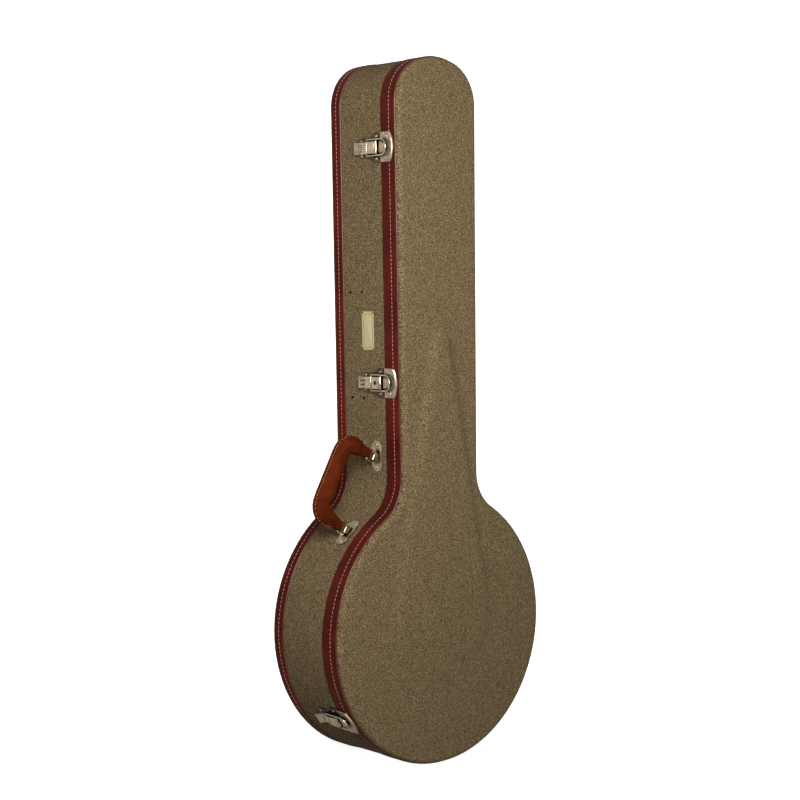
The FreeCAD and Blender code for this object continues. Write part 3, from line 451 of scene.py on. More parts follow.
# %% [markdown]
# ## Handle
# The grip is two layers of leather over padding, sewn together along the outer edge.
# Its section is a full oval, broader on the inside and thinner towards the seam,
# and the grip narrows to the leather tabs that hold the rings.
# Circles are set along the bent middle line, shaped, and joined by bridges between them,
# which leaves the width free at every place where a curve's bevel would keep it the same.

# %% Handle place
ring_spots = []
for ring in ("handle_ring_upper", "handle_ring_lower"):
    low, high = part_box(ring)
    ring_spots.append((low + high) / 2)
HANDLE_LINE = (ring_spots[1] - ring_spots[0]).normalized()
HANDLE_OUT = HANDLE_LINE.cross(UP)
HALF_SPAN = (ring_spots[1] - ring_spots[0]).length / 2
RING_MIDDLE = 5.5 * MM
HANDLE_PLACE = (ring_spots[0] + ring_spots[1]) / 2 - HANDLE_OUT * RING_MIDDLE
print("handle half span", round(HALF_SPAN / MM, 2), "mm")


def in_handle(along, out, up=0.0):
    """A place given along the handle, out of the wall and up, in the case's axes."""
    return HANDLE_PLACE + HANDLE_LINE * along + HANDLE_OUT * out + Vector((0.0, 0.0, up))


# %% Middle line and section of the grip
GRIP_MIDDLE = 62.0 * MM
GRIP_BEND = 21.0 * MM
ARM_SHIFT = 0.5 * MM
BEND_STEPS = 7
MIDDLE_STEPS = 5
BEND_SIZE = (11.8 * MM, 10.4 * MM)
MIDDLE_SIZE = (12.0 * MM, 10.6 * MM)
INNER_BROADER = 1.32
OUTER_THINNER = 0.55
GRIP_FULLNESS = 0.62


def grip_stations():
    """Points down the middle of the grip with half width and half thickness, from one end to the other."""
    arm = HALF_SPAN + ARM_SHIFT
    throat = [(HALF_SPAN, 14.0, 4.2, 3.6), (HALF_SPAN, 15.5, 6.4, 4.6), (HALF_SPAN, 18.5, 7.0, 5.2),
              (HALF_SPAN, 22.5, 7.6, 6.2), (HALF_SPAN, 27.0, 8.8, 7.2), (arm, 31.5, 10.0, 8.6),
              (arm, 36.0, 11.0, 9.6)]
    points = [(-along, out * MM, wide * MM, thick * MM) for along, out, wide, thick in throat]
    for i in range(BEND_STEPS + 1):
        turn = math.pi / 2 * i / BEND_STEPS
        along = -arm + GRIP_BEND * (1 - math.cos(turn))
        out = GRIP_MIDDLE - GRIP_BEND * (1 - math.sin(turn))
        points.append((along, out, *BEND_SIZE))
    reach = arm - GRIP_BEND
    for i in range(1, MIDDLE_STEPS + 1):
        points.append((-reach + reach * i / MIDDLE_STEPS, GRIP_MIDDLE, *MIDDLE_SIZE))
    return points + [(-along, out, wide, thick) for along, out, wide, thick in reversed(points[:-1])]


def fuller(value):
    """Pushes a cosine or sine outwards, which makes an oval squarer."""
    return math.copysign(abs(value) ** GRIP_FULLNESS, value)


def grip_section(wide, thick, cosine, sine):
    """A point of the grip's section: broader on the inside, thinner towards the sewn outer edge."""
    broad = wide if cosine > 0.0 else wide * INNER_BROADER
    thinned = thick * (1.0 - OUTER_THINNER * eased(fuller(cosine), -0.3, 1.0))
    return broad * fuller(cosine), thinned * fuller(sine)


print("the grip has", len(grip_stations()), "sections")

# %% Leather of the grip
GRIP_SIDES = 28


def handle_leather():
    """Circles shaped into sections across the middle line, joined by bridges and closed at both ends."""
    bm = bmesh.new()
    stations = grip_stations()
    loops = []
    for i, (along, out, wide, thick) in enumerate(stations):
        before, after = stations[max(0, i - 1)], stations[min(len(stations) - 1, i + 1)]
        run = Vector((after[0] - before[0], after[1] - before[1])).normalized()
        outer = Vector((-run.y, run.x))
        ring_verts = bmesh.ops.create_circle(bm, segments=GRIP_SIDES, radius=1.0)["verts"]
        for vert in ring_verts:
            across, rise = grip_section(wide, thick, vert.co.x, vert.co.y)
            place = Vector((along, out)) + outer * across
            vert.co = in_handle(place.x, place.y, rise)
        loops.append([e for e in bm.edges if e.verts[0] in ring_verts and e.verts[1] in ring_verts])
    for first, second in zip(loops, loops[1:]):
        bmesh.ops.bridge_loops(bm, edges=first + second)
    for loop in (loops[0], loops[-1]):
        bmesh.ops.contextual_create(bm, geom=loop)
    return finish_mesh(bm, "handle_leather", 50.0)


grip = handle_leather()

# %% Leather tabs round the rings
TAB_RADIUS = 4.2 * MM
TAB_WIDTH = 13.0
TAB_OUT = 11.0 * MM
TAB_BLOCK_OUT = 15.5
TAB_BLOCK_REACH = 9.0
TAB_BLOCK_THICK = 8.0


def handle_tabs():
    """The leather turned round each ring's bar, with the block where it enters the grip."""
    bm = bmesh.new()
    for side in (-1, 1):
        turn = HANDLE_LINE.to_track_quat("Z", "Y").to_matrix().to_4x4()
        made = bmesh.ops.create_cone(bm, cap_ends=True, segments=24, radius1=TAB_RADIUS, radius2=TAB_RADIUS,
                                     depth=TAB_WIDTH * MM, matrix=turn)["verts"]
        bmesh.ops.translate(bm, verts=made, vec=in_handle(side * HALF_SPAN, TAB_OUT))
        box = bmesh.ops.create_cube(bm, size=1.0)["verts"]
        for vert in box:
            vert.co = in_handle(side * HALF_SPAN + vert.co.x * TAB_WIDTH * MM,
                                (TAB_BLOCK_OUT + vert.co.y * TAB_BLOCK_REACH) * MM,
                                vert.co.z * TAB_BLOCK_THICK * MM)
    edges = [e for e in bm.edges if e.calc_face_angle(0.0) > 1.0]
    bmesh.ops.bevel(bm, geom=edges, offset=0.6 * MM, segments=2, profile=0.5, affect="EDGES", material=-1)
    return finish_mesh(bm, "handle_tabs", 50.0)


tabs = handle_tabs()

# %% Stitches on the grip
GRIP_SEAM_INSET = 1.0 * MM
GRIP_PITCH = 3.3 * MM
GRIP_STITCH = (0.5 * MM, 0.38 * MM, 1.05 * MM)
SEWN_FROM = 4
SEAM_FACING = (0.55, 0.84)


def handle_stitching():
    """Two rows of stitches along the grip's outer edge, one on each face."""
    bm = bmesh.new()
    stations = grip_stations()[SEWN_FROM:-SEWN_FROM]
    travelled, nearest = 0.0, 0.0
    for a, b in zip(stations, stations[1:]):
        start, stop = Vector(a[:2]), Vector(b[:2])
        way = (stop - start).normalized()
        outer = Vector((-way.y, way.x))
        start += outer * (a[2] - GRIP_SEAM_INSET)
        stop += outer * (b[2] - GRIP_SEAM_INSET)
        length = (stop - start).length
        run = HANDLE_LINE * way.x + HANDLE_OUT * way.y
        side = HANDLE_LINE * outer.x + HANDLE_OUT * outer.y
        while nearest <= travelled + length:
            t = (nearest - travelled) / length
            spot = start.lerp(stop, t)
            wide, thick = a[2] + (b[2] - a[2]) * t, a[3] + (b[3] - a[3]) * t
            cosine = (1.0 - GRIP_SEAM_INSET / wide) ** (1.0 / GRIP_FULLNESS)
            _, rise = grip_section(wide, thick, cosine, math.sqrt(1.0 - cosine * cosine))
            for face in (-1.0, 1.0):
                out = (side * SEAM_FACING[0] + UP * face * SEAM_FACING[1]).normalized()
                add_bead(bm, in_handle(spot.x, spot.y, face * rise), out, out.cross(run), run, GRIP_STITCH)
            nearest += GRIP_PITCH
        travelled += length
    return finish_mesh(bm, "handle_stitches", 80.0)


grip_stitches = handle_stitching()

# %% [markdown]
# ## Rolled lips of the keepers
# The upper end of each keeper is pressed into a raised lip that rolls over towards the lid.
# Its bent face is what shines on a real latch, while the flat plates look dark.
# A bump in the material can't stand out of the plate, so the lip is a bent strip,
# bridged between copies of one section that follow the edge of the keeper's solid.

# %% Lips on the keepers
LIP_STEPS = 24
LIP_HALF_WIDTH = 0.94
LIP_NARROWING = 0.45
LIP_SECTION = [(6.4, -0.1), (5.7, 0.7), (5.1, 1.35), (4.5, 1.6),
               (3.8, 1.4), (2.8, 0.7), (1.8, -0.2), (0.8, -1.1)]
KEEPER_HEAD = 9.0 * MM
KEEPER_EDGE = 2.0 * MM
KEEPER_END = 0.2 * MM


def keeper_lip(name, node):
    """A pressed lip along the upper edge of a keeper, following the curve of that edge."""
    points = [nodes[node].matrix_world @ v.co for v in nodes[node].data.vertices]
    low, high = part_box(node)
    centre = (low + high) / 2
    _, out = place_on_wall(distance_round(centre.x, centre.y), 0.0, 0.0)
    along = UP.cross(out)
    head = [p for p in points if p.z > high.z - KEEPER_HEAD]
    half = max(abs((p - centre).dot(along)) for p in head)
    corner = max(p.z for p in head if abs((p - centre).dot(along)) > half - KEEPER_END)
    face = max((p - centre).dot(out) for p in head if p.z > high.z - KEEPER_EDGE)
    bm = bmesh.new()
    rows = []
    for i in range(LIP_STEPS + 1):
        u = -1.0 + 2.0 * i / LIP_STEPS
        edge = high.z - (high.z - corner) * u * u
        narrow = 1.0 - LIP_NARROWING * u * u
        start = centre + along * (u * half * LIP_HALF_WIDTH)
        row = [bm.verts.new(start + out * (face + rise * MM) + UP * (edge - down * narrow * MM - centre.z))
               for down, rise in LIP_SECTION]
        rows.append([bm.edges.new(pair) for pair in zip(row, row[1:])])
    for first, second in zip(rows, rows[1:]):
        bmesh.ops.bridge_loops(bm, edges=first + second)
    return finish_mesh(bm, name, 60.0)


keeper_lips = [keeper_lip("keeper_lip_" + place, "keeper_" + place) for place in ("upper", "lock", "bowl")]

# %% [markdown]
# ## Padding inside
# The pads are foam in plush covers: a ring round the pot, a pad under it, a rest for the neck,
# a block under the headstock and a pad in the lid. A bevel alone would leave them looking like wood.
# So each is taken from its solid, remeshed, made slightly smaller, and blown up as cloth,
# and its flat faces crown and its edges turn soft. How far it may swell is capped.

# %% Soft pads
PRESSURE = 4.0
CLOTH_FRAMES = 20
SMOOTHING_ROUNDS = 3


def settle(piece):
    """Applies the modifiers to the mesh, so that none is left."""
    seen = piece.evaluated_get(bpy.context.evaluated_depsgraph_get())
    mesh = bpy.data.meshes.new_from_object(seen)
    piece.modifiers.clear()
    piece.data = mesh


def welded_copy(name, node):
    """A closed copy of a solid's mesh, with a material list of its own."""
    piece = bpy.data.objects.new(name, nodes[node].data.copy())
    piece.data.materials.clear()
    piece.data.name = name
    bpy.context.scene.collection.objects.link(piece)
    bm = bmesh.new()
    bm.from_mesh(piece.data)
    bmesh.ops.remove_doubles(bm, verts=bm.verts[:], dist=WELD_DISTANCE)
    bmesh.ops.recalc_face_normals(bm, faces=bm.faces[:])
    bm.to_mesh(piece.data)
    bm.free()
    flat_normals = piece.data.attributes.get("custom_normal")
    if flat_normals:
        piece.data.attributes.remove(flat_normals)
    return piece


def shrink(piece, inward):
    """Smooths the mesh and draws it in, which leaves room to swell."""
    bm = bmesh.new()
    bm.from_mesh(piece.data)
    for _ in range(SMOOTHING_ROUNDS):
        bmesh.ops.smooth_vert(bm, verts=bm.verts[:], factor=0.5,
                              use_axis_x=True, use_axis_y=True, use_axis_z=True)
    bm.normal_update()
    for vert in bm.verts:
        vert.co -= vert.normal * inward
    bm.to_mesh(piece.data)
    bm.free()


def puffed(name, node, inward, swell, voxel):
    """A padded piece made from the solid of a node, slightly smaller, swollen as cloth."""
    piece = welded_copy(name, node)
    mesher = piece.modifiers.new("remesh", "REMESH")
    mesher.mode = "VOXEL"
    mesher.voxel_size = voxel
    settle(piece)
    shrink(piece, inward)
    start = [v.co.copy() for v in piece.data.vertices]
    cloth = piece.modifiers.new("cloth", "CLOTH")
    cloth.settings.use_pressure = True
    cloth.settings.uniform_pressure_force = PRESSURE
    cloth.settings.effector_weights.gravity = 0.0
    for step in range(1, CLOTH_FRAMES + 1):
        bpy.context.scene.frame_set(step)
    settle(piece)
    bpy.context.scene.frame_set(1)
    for vert, rest in zip(piece.data.vertices, start):
        move = vert.co - rest
        if move.length > swell:
            vert.co = rest + move * (swell / move.length)
    smooth = piece.modifiers.new("smooth", "SUBSURF")
    smooth.levels = smooth.render_levels = 1
    piece.data.shade_smooth()
    print(name, len(piece.data.polygons), "faces")
    return piece


# Each pad: its body, how far it is drawn in, how far it may swell, the grid of its mesh, and its fill.
PADS = {
    "pot_ring": ("base", 1.6 * MM, 2.2 * MM, 5.0 * MM, 0.8),
    "pot_pad": ("base", 1.2 * MM, 2.0 * MM, 4.5 * MM, 0.6),
    "neck_rest": ("base", 1.8 * MM, 2.6 * MM, 4.0 * MM, 0.8),
    "headstock_pad": ("base", 1.8 * MM, 2.6 * MM, 4.5 * MM, 0.7),
    "lid_neck_pad": ("lid", 1.4 * MM, 2.2 * MM, 3.0 * MM, 0.7),
}
pads = [(puffed(node + "_soft", node, inward, swell, voxel), node, body, fill)
        for node, (body, inward, swell, voxel, fill) in PADS.items()]

# %% [markdown]
# ## Materials
# Pictures of cloth and leather would show their repeat, and they need unwrapped pieces.
# So each finish is worked out by nodes from the place on the piece.
# Dragging nodes is slow to read back, so a small class lets their sums be written as plain arithmetic.


# %% Arithmetic on the outputs of nodes
def operator(kind):
    """An operator and its reflected form, for a wire on the right of a number."""
    def forward(self, other):
        return self.graph.math(kind, self, other)

    def reflected(self, other):
        return self.graph.math(kind, other, self)
    return forward, reflected


class Wire:
    """One output of a node, with arithmetic that adds Math nodes."""

    __add__, __radd__ = operator("ADD")
    __sub__, __rsub__ = operator("SUBTRACT")
    __mul__, __rmul__ = operator("MULTIPLY")
    __truediv__, __rtruediv__ = operator("DIVIDE")
    __mod__, __rmod__ = operator("FLOORED_MODULO")

    def __init__(self, graph, socket):
        self.graph = graph
        self.socket = socket

    def floor(self):
        return self.graph.math("FLOOR", self)

    def sine(self):
        return self.graph.math("SINE", self)

    def size(self):
        return self.graph.math("ABSOLUTE", self)

    def above(self, other):
        return self.graph.math("GREATER_THAN", self, other)

    def between(self, low, high):
        """0 below low, 1 above high, eased between."""
        return self.graph.node("ShaderNodeMapRange", {"interpolation_type": "SMOOTHSTEP"},
                               {"Value": self, "From Min": low, "From Max": high})


print("wires can be added, subtracted, multiplied, divided and wrapped")


# %% Graphs of nodes
class Graph:
    """A node tree, with one method that makes any node."""

    def __init__(self, tree):
        self.tree = tree

    def join(self, value, socket):
        if isinstance(value, Wire):
            self.tree.links.new(value.socket, socket)
        elif isinstance(value, tuple) and len(value) == 3 and socket.type == "RGBA":
            socket.default_value = (*value, 1.0)
        else:
            socket.default_value = value

    def node(self, kind, settings=None, inputs=(), output=0):
        """Makes any node, sets its properties, joins its inputs and gives back one output."""
        made = self.tree.nodes.new(kind)
        for key, value in (settings or {}).items():
            setattr(made, key, value)
        pairs = inputs.items() if isinstance(inputs, dict) else enumerate(inputs)
        for key, value in pairs:
            self.join(value, made.inputs[key])
        return Wire(self, made.outputs[output])

    def math(self, kind, *values):
        return self.node("ShaderNodeMath", {"operation": kind}, values)

    def place(self):
        """The object's own coordinates, in metres."""
        return self.node("ShaderNodeTexCoord", output="Object")

    def cloth(self):
        """The cover's own texture coordinates, in metres."""
        return self.node("ShaderNodeUVMap", {"uv_map": "cloth"}, output="UV")

    def split(self, vector):
        made = self.tree.nodes.new("ShaderNodeSeparateXYZ")
        self.join(vector, made.inputs[0])
        return [Wire(self, made.outputs[i]) for i in range(3)]

    def joined(self, x, y, z):
        return self.node("ShaderNodeCombineXYZ", inputs=(x, y, z))

    def noise(self, vector, scale, detail, roughness=0.5):
        """Soft random spots: the scale is how many lie in a metre."""
        return self.node("ShaderNodeTexNoise", inputs={"Vector": vector, "Scale": scale, "Detail": detail,
                                                       "Roughness": roughness})

    def grain(self, vector):
        """A random value that is the same all over one cell."""
        return self.node("ShaderNodeTexWhiteNoise", {"noise_dimensions": "3D"}, {"Vector": vector}, "Value")

    def mix(self, factor, a, b, kind="MIX"):
        """A colour between a and b, or their product."""
        return self.node("ShaderNodeMix", {"data_type": "RGBA", "blend_type": kind},
                         {"Factor": factor, 6: a, 7: b}, 2)


class Look(Graph):
    """A material with a Principled shader and helpers to wire it."""

    def __init__(self, name, **settings):
        self.material = bpy.data.materials.new(name)
        self.material.use_nodes = True
        super().__init__(self.material.node_tree)
        self.shader = self.tree.nodes["Principled BSDF"]
        for key, value in settings.items():
            self.set(key.replace("_", " ").title().replace("Ior", "IOR"), value)
        print("material", name)

    def set(self, socket, value):
        self.join(value, self.shader.inputs[socket])

    def hollow_shade_and_tarnish(self, reach):
        """0 on open surfaces, towards 1 in corners and between parts: painted shade there, with the tarnish
        of old plating.
        """
        shade = self.node("ShaderNodeAmbientOcclusion", {"samples": 6}, {"Distance": reach}, "AO")
        return 1.0 - shade.between(0.5, 0.97)

    def bump(self, height, strength, distance):
        sizes = {"Height": height, "Strength": strength, "Distance": distance}
        self.set("Normal", self.node("ShaderNodeBump", inputs=sizes))
        return self


def srgb(r, g, b):
    """A colour as read from a picture, made linear."""
    def linear(c):
        c = c / 255.0
        return c / 12.92 if c <= 0.04045 else ((c + 0.055) / 1.055) ** 2.4
    return (linear(r), linear(g), linear(b))


print("a middle grey is", round(srgb(128, 128, 128)[0], 3), "in linear light")

# %% [markdown]
# ## Tweed
# The tweed is a small twill of dark and light yarns. Threads go over and under in steps of two,
# each length of yarn has a tone of its own, and a slow mottle keeps large areas from looking flat.
# The yarns are counted along the cover's own coordinates, so the weave turns with the wall.

# %% Tweed cloth
YARN_DARK = srgb(40, 31, 18)
YARN_MIDDLE = srgb(96, 79, 52)
YARN_LIGHT = srgb(166, 145, 109)
YARN_WANDER = 1.2
YARN_RUN = 3.0
TWILL_REPEAT = 4.0
LID_PITCH = 0.85 * MM
SIDE_PITCH = 1.05 * MM


def tweed_look(name, own_coordinates, pitch):
    look = Look(name, roughness=0.95, specular_ior_level=0.2)
    where = look.cloth() if own_coordinates else look.place()
    x, y, _ = look.split(where)
    across = x / pitch + look.noise(where, scale=130.0, detail=1.0) * YARN_WANDER
    up = y / pitch + look.noise(where, scale=150.0, detail=1.0) * YARN_WANDER
    column, row = across.floor(), up.floor()
    over = ((column + row) % TWILL_REPEAT).above(1.5)
    warp = look.grain(look.joined(column, (row / YARN_RUN).floor(), 1.0))
    weft = look.grain(look.joined((column / YARN_RUN).floor(), row, 2.0))
    crossing = look.grain(look.joined(column, row, 3.0))
    fleck = look.noise(where, scale=0.8 / pitch, detail=2.0, roughness=0.8)
    tone = over * warp + (1.0 - over) * weft
    tone = tone * 0.3 + crossing * 0.34 + fleck.between(0.42, 0.58) * 0.36
    dark = look.mix(tone.between(0.1, 0.5), YARN_DARK, YARN_MIDDLE)
    mixed = look.mix(tone.between(0.5, 0.95), dark, YARN_LIGHT)
    mottle = look.noise(where, scale=26.0, detail=3.0, roughness=0.6).between(0.3, 0.7)
    shade = look.mix(mottle, (0.98, 0.98, 0.98), (1.01, 1.01, 1.01))
    look.set("Base Color", look.mix(1.0, mixed, shade, "MULTIPLY"))
    thread = (across * math.pi).sine().size() * over + (up * math.pi).sine().size() * (1.0 - over)
    return look.bump(thread + fleck * 0.8, 0.25, 0.25 * MM)


tweed_on_lid = tweed_look("tweed_cloth", True, LID_PITCH)
tweed_on_side = tweed_look("tweed_cloth_side", True, SIDE_PITCH)
tweed_plain = tweed_look("tweed_cloth_back", False, LID_PITCH)

# %% [markdown]
# ## Leathercloth, cord and thread
# Leathercloth is cloth with a pressed vinyl face: a fine even grain, a low shine, a little wear.
# The cord is smooth vinyl and shines more. The thread is so thin that one plain colour is enough.


# %% Leathercloth, cord and thread
def leathercloth_look():
    look = Look("burgundy_leathercloth", roughness=0.42, specular_ior_level=0.12)
    where = look.place()
    grain = look.noise(where, scale=900.0, detail=3.0, roughness=0.6)
    wear = look.noise(where, scale=14.0, detail=3.0, roughness=0.6)
    look.set("Base Color", look.mix(wear.between(0.35, 0.7), srgb(62, 13, 5), srgb(86, 22, 10)))
    look.set("Roughness", 0.4 + grain * 0.22)
    return look.bump(grain, 0.35, 0.2 * MM)


leathercloth = leathercloth_look()
piping_vinyl = Look("piping_vinyl", roughness=0.35, coat_weight=0.15, base_color=srgb(84, 32, 26))
thread = Look("binding_thread", roughness=0.7, specular_ior_level=0.2, base_color=srgb(196, 140, 112))

# %% [markdown]
# ## Saddle leather
# The grip is orange-brown leather, darker in patches where hands have held it.
# Two layers of noise do it: a fine one for the grain and a slow one for the patches.


# %% Saddle leather
def saddle_look():
    look = Look("saddle_leather", roughness=0.8, specular_ior_level=0.06)
    where = look.place()
    fine = look.noise(where, scale=1100.0, detail=4.0, roughness=0.65)
    patch = look.noise(where, scale=55.0, detail=4.0, roughness=0.6)
    tone = look.mix(patch.between(0.3, 0.7), srgb(50, 16, 2), srgb(94, 34, 4))
    look.set("Base Color", look.mix(fine.between(0.3, 0.8), tone, srgb(74, 26, 3)))
    look.set("Roughness", 0.6 + fine * 0.3)
    return look.bump(fine + patch, 0.4, 0.25 * MM)


saddle = saddle_look()

# %% [markdown]
# ## Plush
# The lining has a short pile that lies in brushed patches and glows at grazing angles.
# Hair would be far too heavy here, so the shader's sheen and a fine bump stand for the pile.


# %% Plush
def plush_look():
    look = Look("plush_lining", roughness=0.95, sheen_weight=0.6, sheen_roughness=0.4,
                sheen_tint=srgb(190, 90, 90))
    where = look.place()
    pile = look.noise(where, scale=1500.0, detail=2.0, roughness=0.7)
    brushed = look.noise(where, scale=22.0, detail=3.0, roughness=0.6)
    tone = look.mix(brushed.between(0.35, 0.65), srgb(78, 20, 22), srgb(108, 32, 32))
    look.set("Base Color", look.mix(pile.between(0.2, 0.8), tone, srgb(92, 26, 27)))
    return look.bump(pile, 0.6, 0.5 * MM)


plush = plush_look()

# %% [markdown]
# ## Metals
# The latches are nickel plate with smeared, slightly uneven faces, darker in the corners.
# Clean metal mirrors the white studio and looks pale, so corners and joins are darkened by ambient
# occlusion: painted shade, with some tarnish.
# The flat latch plates are painted darkest, the keepers and handle brackets less, the levers least, as
# painted shade for the dim reflection of flat faces.

# %% Metals
# Colours that ambient occlusion mixes into corners and joins: painted shade, with some tarnish.
TARNISH_AND_SHADE = (0.03, 0.024, 0.016)
BRASS_TARNISH_AND_SHADE = (0.03, 0.02, 0.01)


def nickel_look(name, dull, bright):
    look = Look(name, metallic=1.0, roughness=0.3)
    smear = look.noise(look.place(), scale=160.0, detail=3.0, roughness=0.6)
    plate = look.mix(smear.between(0.3, 0.7), dull, bright)
    # Corners and joins darkened by ambient occlusion: painted shade, with some tarnish.
    look.set("Base Color", look.mix(look.hollow_shade_and_tarnish(6.0 * MM), plate, TARNISH_AND_SHADE))
    look.set("Roughness", 0.22 + smear * 0.16)
    return look.bump(look.noise(look.place(), scale=75.0, detail=2.0), 0.6, 1.2 * MM)


def plain_metal(name, colour, roughness, metallic=1.0):
    look = Look(name, metallic=metallic, roughness=roughness)
    smear = look.noise(look.place(), scale=220.0, detail=3.0, roughness=0.6)
    # Corners and joins darkened by ambient occlusion: painted shade, with some tarnish.
    look.set("Base Color", look.mix(look.hollow_shade_and_tarnish(1.5 * MM), colour, BRASS_TARNISH_AND_SHADE))
    look.set("Roughness", roughness - 0.06 + smear * 0.14)
    return look


nickel = nickel_look("nickel_plate", (0.62, 0.51, 0.35), (0.86, 0.73, 0.53))
# Darker copies of the same nickel: painted shade for the dim reflection of flat faces.
darkest_shaded_nickel = nickel_look("darkest_shaded_nickel", (0.08, 0.058, 0.034), (0.17, 0.13, 0.08))
half_shaded_nickel = nickel_look("half_shaded_nickel", (0.40, 0.32, 0.21), (0.70, 0.58, 0.41))
steel = plain_metal("steel", (0.42, 0.41, 0.39), 0.35)
pale_brass = plain_metal("pale_brass", srgb(190, 180, 134), 0.4, 0.3)
nail_brass = plain_metal("nail_brass", srgb(32, 24, 13), 0.3)

# %% [markdown]
# ## Plywood
# The boards show only at cut edges: light and dark layers, with a grain drawn out along the board.

# %% Plywood
PLY_THICKNESS = 1.2 * MM
GRAIN_STRETCH = 0.08


def plywood_look():
    look = Look("plywood", roughness=0.75)
    x, y, z = look.split(look.place())
    layer = (z / PLY_THICKNESS).floor() % 2.0
    drawn_out = look.joined(x * GRAIN_STRETCH, y * GRAIN_STRETCH, z)
    streak = look.noise(drawn_out, scale=500.0, detail=3.0, roughness=0.6)
    tone = look.mix(layer, srgb(176, 140, 96), srgb(150, 112, 70))
    look.set("Base Color", look.mix(streak.between(0.3, 0.7), tone, srgb(190, 156, 110)))
    return look


looks = {
    "tweed": tweed_plain, "binding": leathercloth, "plywood": plywood_look(), "plush": plush,
    "foam_pad": plush, "nickel": nickel, "brass_plate": pale_brass, "nail_brass": nail_brass,
    "handle_leather": saddle, "steel": steel,
}
print("looks for", len(looks), "slots")

# %% [markdown]
# ## Dress the solids
# Metal, wood and small pieces keep their exact shape. Nothing real has knife-sharp edges,
# so hard pieces get a narrow bevel, as a modifier that leaves their own mesh alone.

# %% Materials on the solids
EDGE_WIDTH = 0.4 * MM
EDGE_ANGLE = math.radians(35.0)
BEVELLED = ("nickel", "steel", "brass_plate", "handle_leather")
# Parts that get the darker copies of nickel, as painted shade.
DARKEST_SHADED_PARTS = ("latch_plate_upper", "latch_plate_lock", "latch_plate_bowl", "lock_plug")
HALF_SHADED_PARTS = ("keeper_upper", "keeper_lock", "keeper_bowl", "handle_bracket_upper", "handle_bracket_lower")
subparts = {part["node"]: part["material_slot"] for part in frame["record"]["subparts"]}


def soften_edges(piece):
    weld = piece.modifiers.new("weld", "WELD")
    weld.merge_threshold = WELD_DISTANCE
    bevel = piece.modifiers.new("edge", "BEVEL")
    bevel.width = EDGE_WIDTH
    bevel.segments = 2
    bevel.limit_method = "ANGLE"
    bevel.angle_limit = EDGE_ANGLE


for name, piece in nodes.items():
    slot = subparts[name]
    # Flat plates, keepers and brackets get darker copies of nickel, as painted shade.
    look = darkest_shaded_nickel if name in DARKEST_SHADED_PARTS else half_shaded_nickel if name in HALF_SHADED_PARTS else looks[slot]
    piece.data.materials.clear()
    piece.data.materials.append(look.material)
    if slot in BEVELLED:
        soften_edges(piece)
print("dressed", len(subparts), "solids")

# %% [markdown]
# ## Covers ride on the moving parts
# Each cover is listed with the part of the case that carries it, the material slot it stands for,
# and the solids it takes the place of; it is hung on that part, and those solids are hidden. The lid's
# covers open with the lid.

# %% Bodies, slots and replaced solids
covers = [
    (side_tweed, "base", "tweed", ("base_side_tweed",), tweed_on_side),
    (back_band, "base", "binding", ("back_binding",), leathercloth),
    (back_stitches, "base", "binding", (), thread),
    (back_piping, "base", "binding", (), piping_vinyl),
    (lid_band, "lid", "binding", ("lid_binding",), leathercloth),
    (lid_stitches, "lid", "binding", (), thread),
    (lid_piping, "lid", "binding", (), piping_vinyl),
    (lid_cloth, "lid", "tweed", ("lid_tweed",), tweed_on_lid),
    (grip, "handle", "handle_leather", ("handle_grip",), saddle),
    (tabs, "handle", "handle_leather", (), saddle),
    (grip_stitches, "handle", "handle_leather", (), thread),
]
covers += [(piece, "lid", "nickel", (), nickel) for piece in keeper_lips]
covers += [(piece, body, "foam_pad", (node,), plush) for piece, node, body, _ in pads]
for piece, body, slot, replaced, look in covers:
    piece.data.materials.clear()
    piece.data.materials.append(look.material)
    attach(piece, body)
    if replaced:
        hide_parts(*replaced)
print("laid on", len(covers), "covers")

# %% [markdown]
# ## Camera, light and floor
# The camera looks down on the lying case from the latch side, turned so that the neck points up,
# as in a catalogue picture where the case stands on end. A long lens keeps the far end from shrinking.

# %% Camera
CAMERA_PLACE = Vector((-0.51766, -1.75350, 2.01284))
CAMERA_RIGHT = Vector((0.01309, 0.74363, 0.66846))
CAMERA_UP = Vector((-0.99757, 0.05543, -0.04213))
LENS = 77.9
PICTURE_SIZE = 800
camera_data = bpy.data.cameras.new("camera")
camera_data.lens = LENS
camera_data.sensor_width = 36.0
camera = bpy.data.objects.new("camera", camera_data)
bpy.context.scene.collection.objects.link(camera)
turn = Matrix((CAMERA_RIGHT, CAMERA_UP, CAMERA_RIGHT.cross(CAMERA_UP))).transposed()
camera.matrix_world = Matrix.Translation(CAMERA_PLACE) @ turn.to_4x4()
bpy.context.scene.camera = camera
bpy.context.scene.render.resolution_x = PICTURE_SIZE
bpy.context.scene.render.resolution_y = PICTURE_SIZE
bpy.context.scene.view_settings.view_transform = "Standard"
print("lens", LENS, "mm")

# %% [markdown]
# The spine is only a few millimetres high, and even light would hide it.
# So one strong light stands low on the latch side and grazes the lid,
# and three weak ones and a dim sky only lift the shadows.


# %% Lights
def area_light(name, place, size, power, target, spread=180.0):
    """A round soft light that stands at a place and looks at a target."""
    data = bpy.data.lights.new(name, "AREA")
    data.shape = "DISK"
    data.size = size
    data.energy = power
    data.spread = math.radians(spread)
    light = bpy.data.objects.new(name, data)
    light.location = place
    light.rotation_euler = (Vector(target) - Vector(place)).to_track_quat("-Z", "Y").to_euler()
    bpy.context.scene.collection.objects.link(light)
    print("light", name, power, "W")


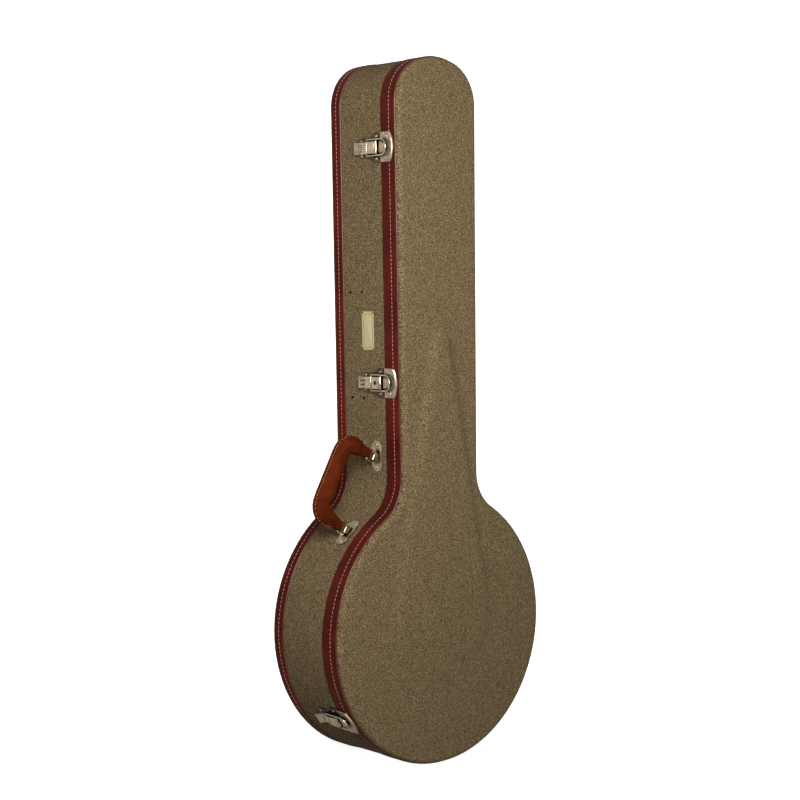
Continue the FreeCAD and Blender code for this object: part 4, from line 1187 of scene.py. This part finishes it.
area_light("key", (-0.85, -0.95, 1.3), size=0.8, power=15.8, target=(-0.5, 0.0, 0.15), spread=120.0)
area_light("neck_end", (-1.9, 0.3, 1.2), size=0.8, power=1.0, target=(-0.6, 0.0, 0.1))
area_light("far_side", (0.3, 1.7, 1.7), size=1.2, power=2.0, target=(-0.32, 0.0, 0.08))
area_light("tail_fill", (0.9, -1.2, 0.8), size=0.8, power=2.4, target=(0.05, -0.1, 0.1))

# %% [markdown]
# A white background that lit the case would wash it out.
# So the sky and the floor are white only for rays that come from the camera,
# and everything else meets a dim sky and a darker floor, which also gives the metal something to mirror.

# %% Sky
SKY_COLOUR = (1.0, 0.98, 0.95)
SKY_STRENGTH = 0.16
WHITE = (1.0, 1.0, 1.0)
world = bpy.data.worlds.new("studio")
bpy.context.scene.world = world
world.use_nodes = True
world.node_tree.nodes.clear()
sky = Graph(world.node_tree)
seen = sky.node("ShaderNodeLightPath", output="Is Camera Ray")
dim = sky.node("ShaderNodeBackground", inputs={"Color": SKY_COLOUR, "Strength": SKY_STRENGTH})
white = sky.node("ShaderNodeBackground", inputs={"Color": WHITE})
surface = world.node_tree.nodes.new("ShaderNodeOutputWorld").inputs["Surface"]
sky.join(sky.node("ShaderNodeMixShader", inputs=(seen, dim, white)), surface)
print("sky", SKY_STRENGTH)

# %% Floor
FLOOR_REACH = 6.0
FLOOR_DROP = 0.5 * MM
FLOOR_GLOW = 0.82
SHARE_IN_METAL = 0.3
bm = bmesh.new()
bmesh.ops.create_grid(bm, x_segments=1, y_segments=1, size=FLOOR_REACH)
floor = finish_mesh(bm, "floor")
floor.location.z = -FLOOR_DROP
floor_look = Look("floor_white", roughness=0.9, emission_strength=FLOOR_GLOW)
seen = floor_look.node("ShaderNodeLightPath", output="Is Camera Ray")
mirrored = floor_look.node("ShaderNodeLightPath", output="Is Glossy Ray")
lightness = seen + mirrored * SHARE_IN_METAL
floor_look.set("Base Color", floor_look.mix(lightness, (0.20, 0.19, 0.18), (0.95, 0.95, 0.95)))
floor_look.set("Emission Color", floor_look.mix(seen, (0.0, 0.0, 0.0), WHITE))
floor.data.materials.append(floor_look.material)
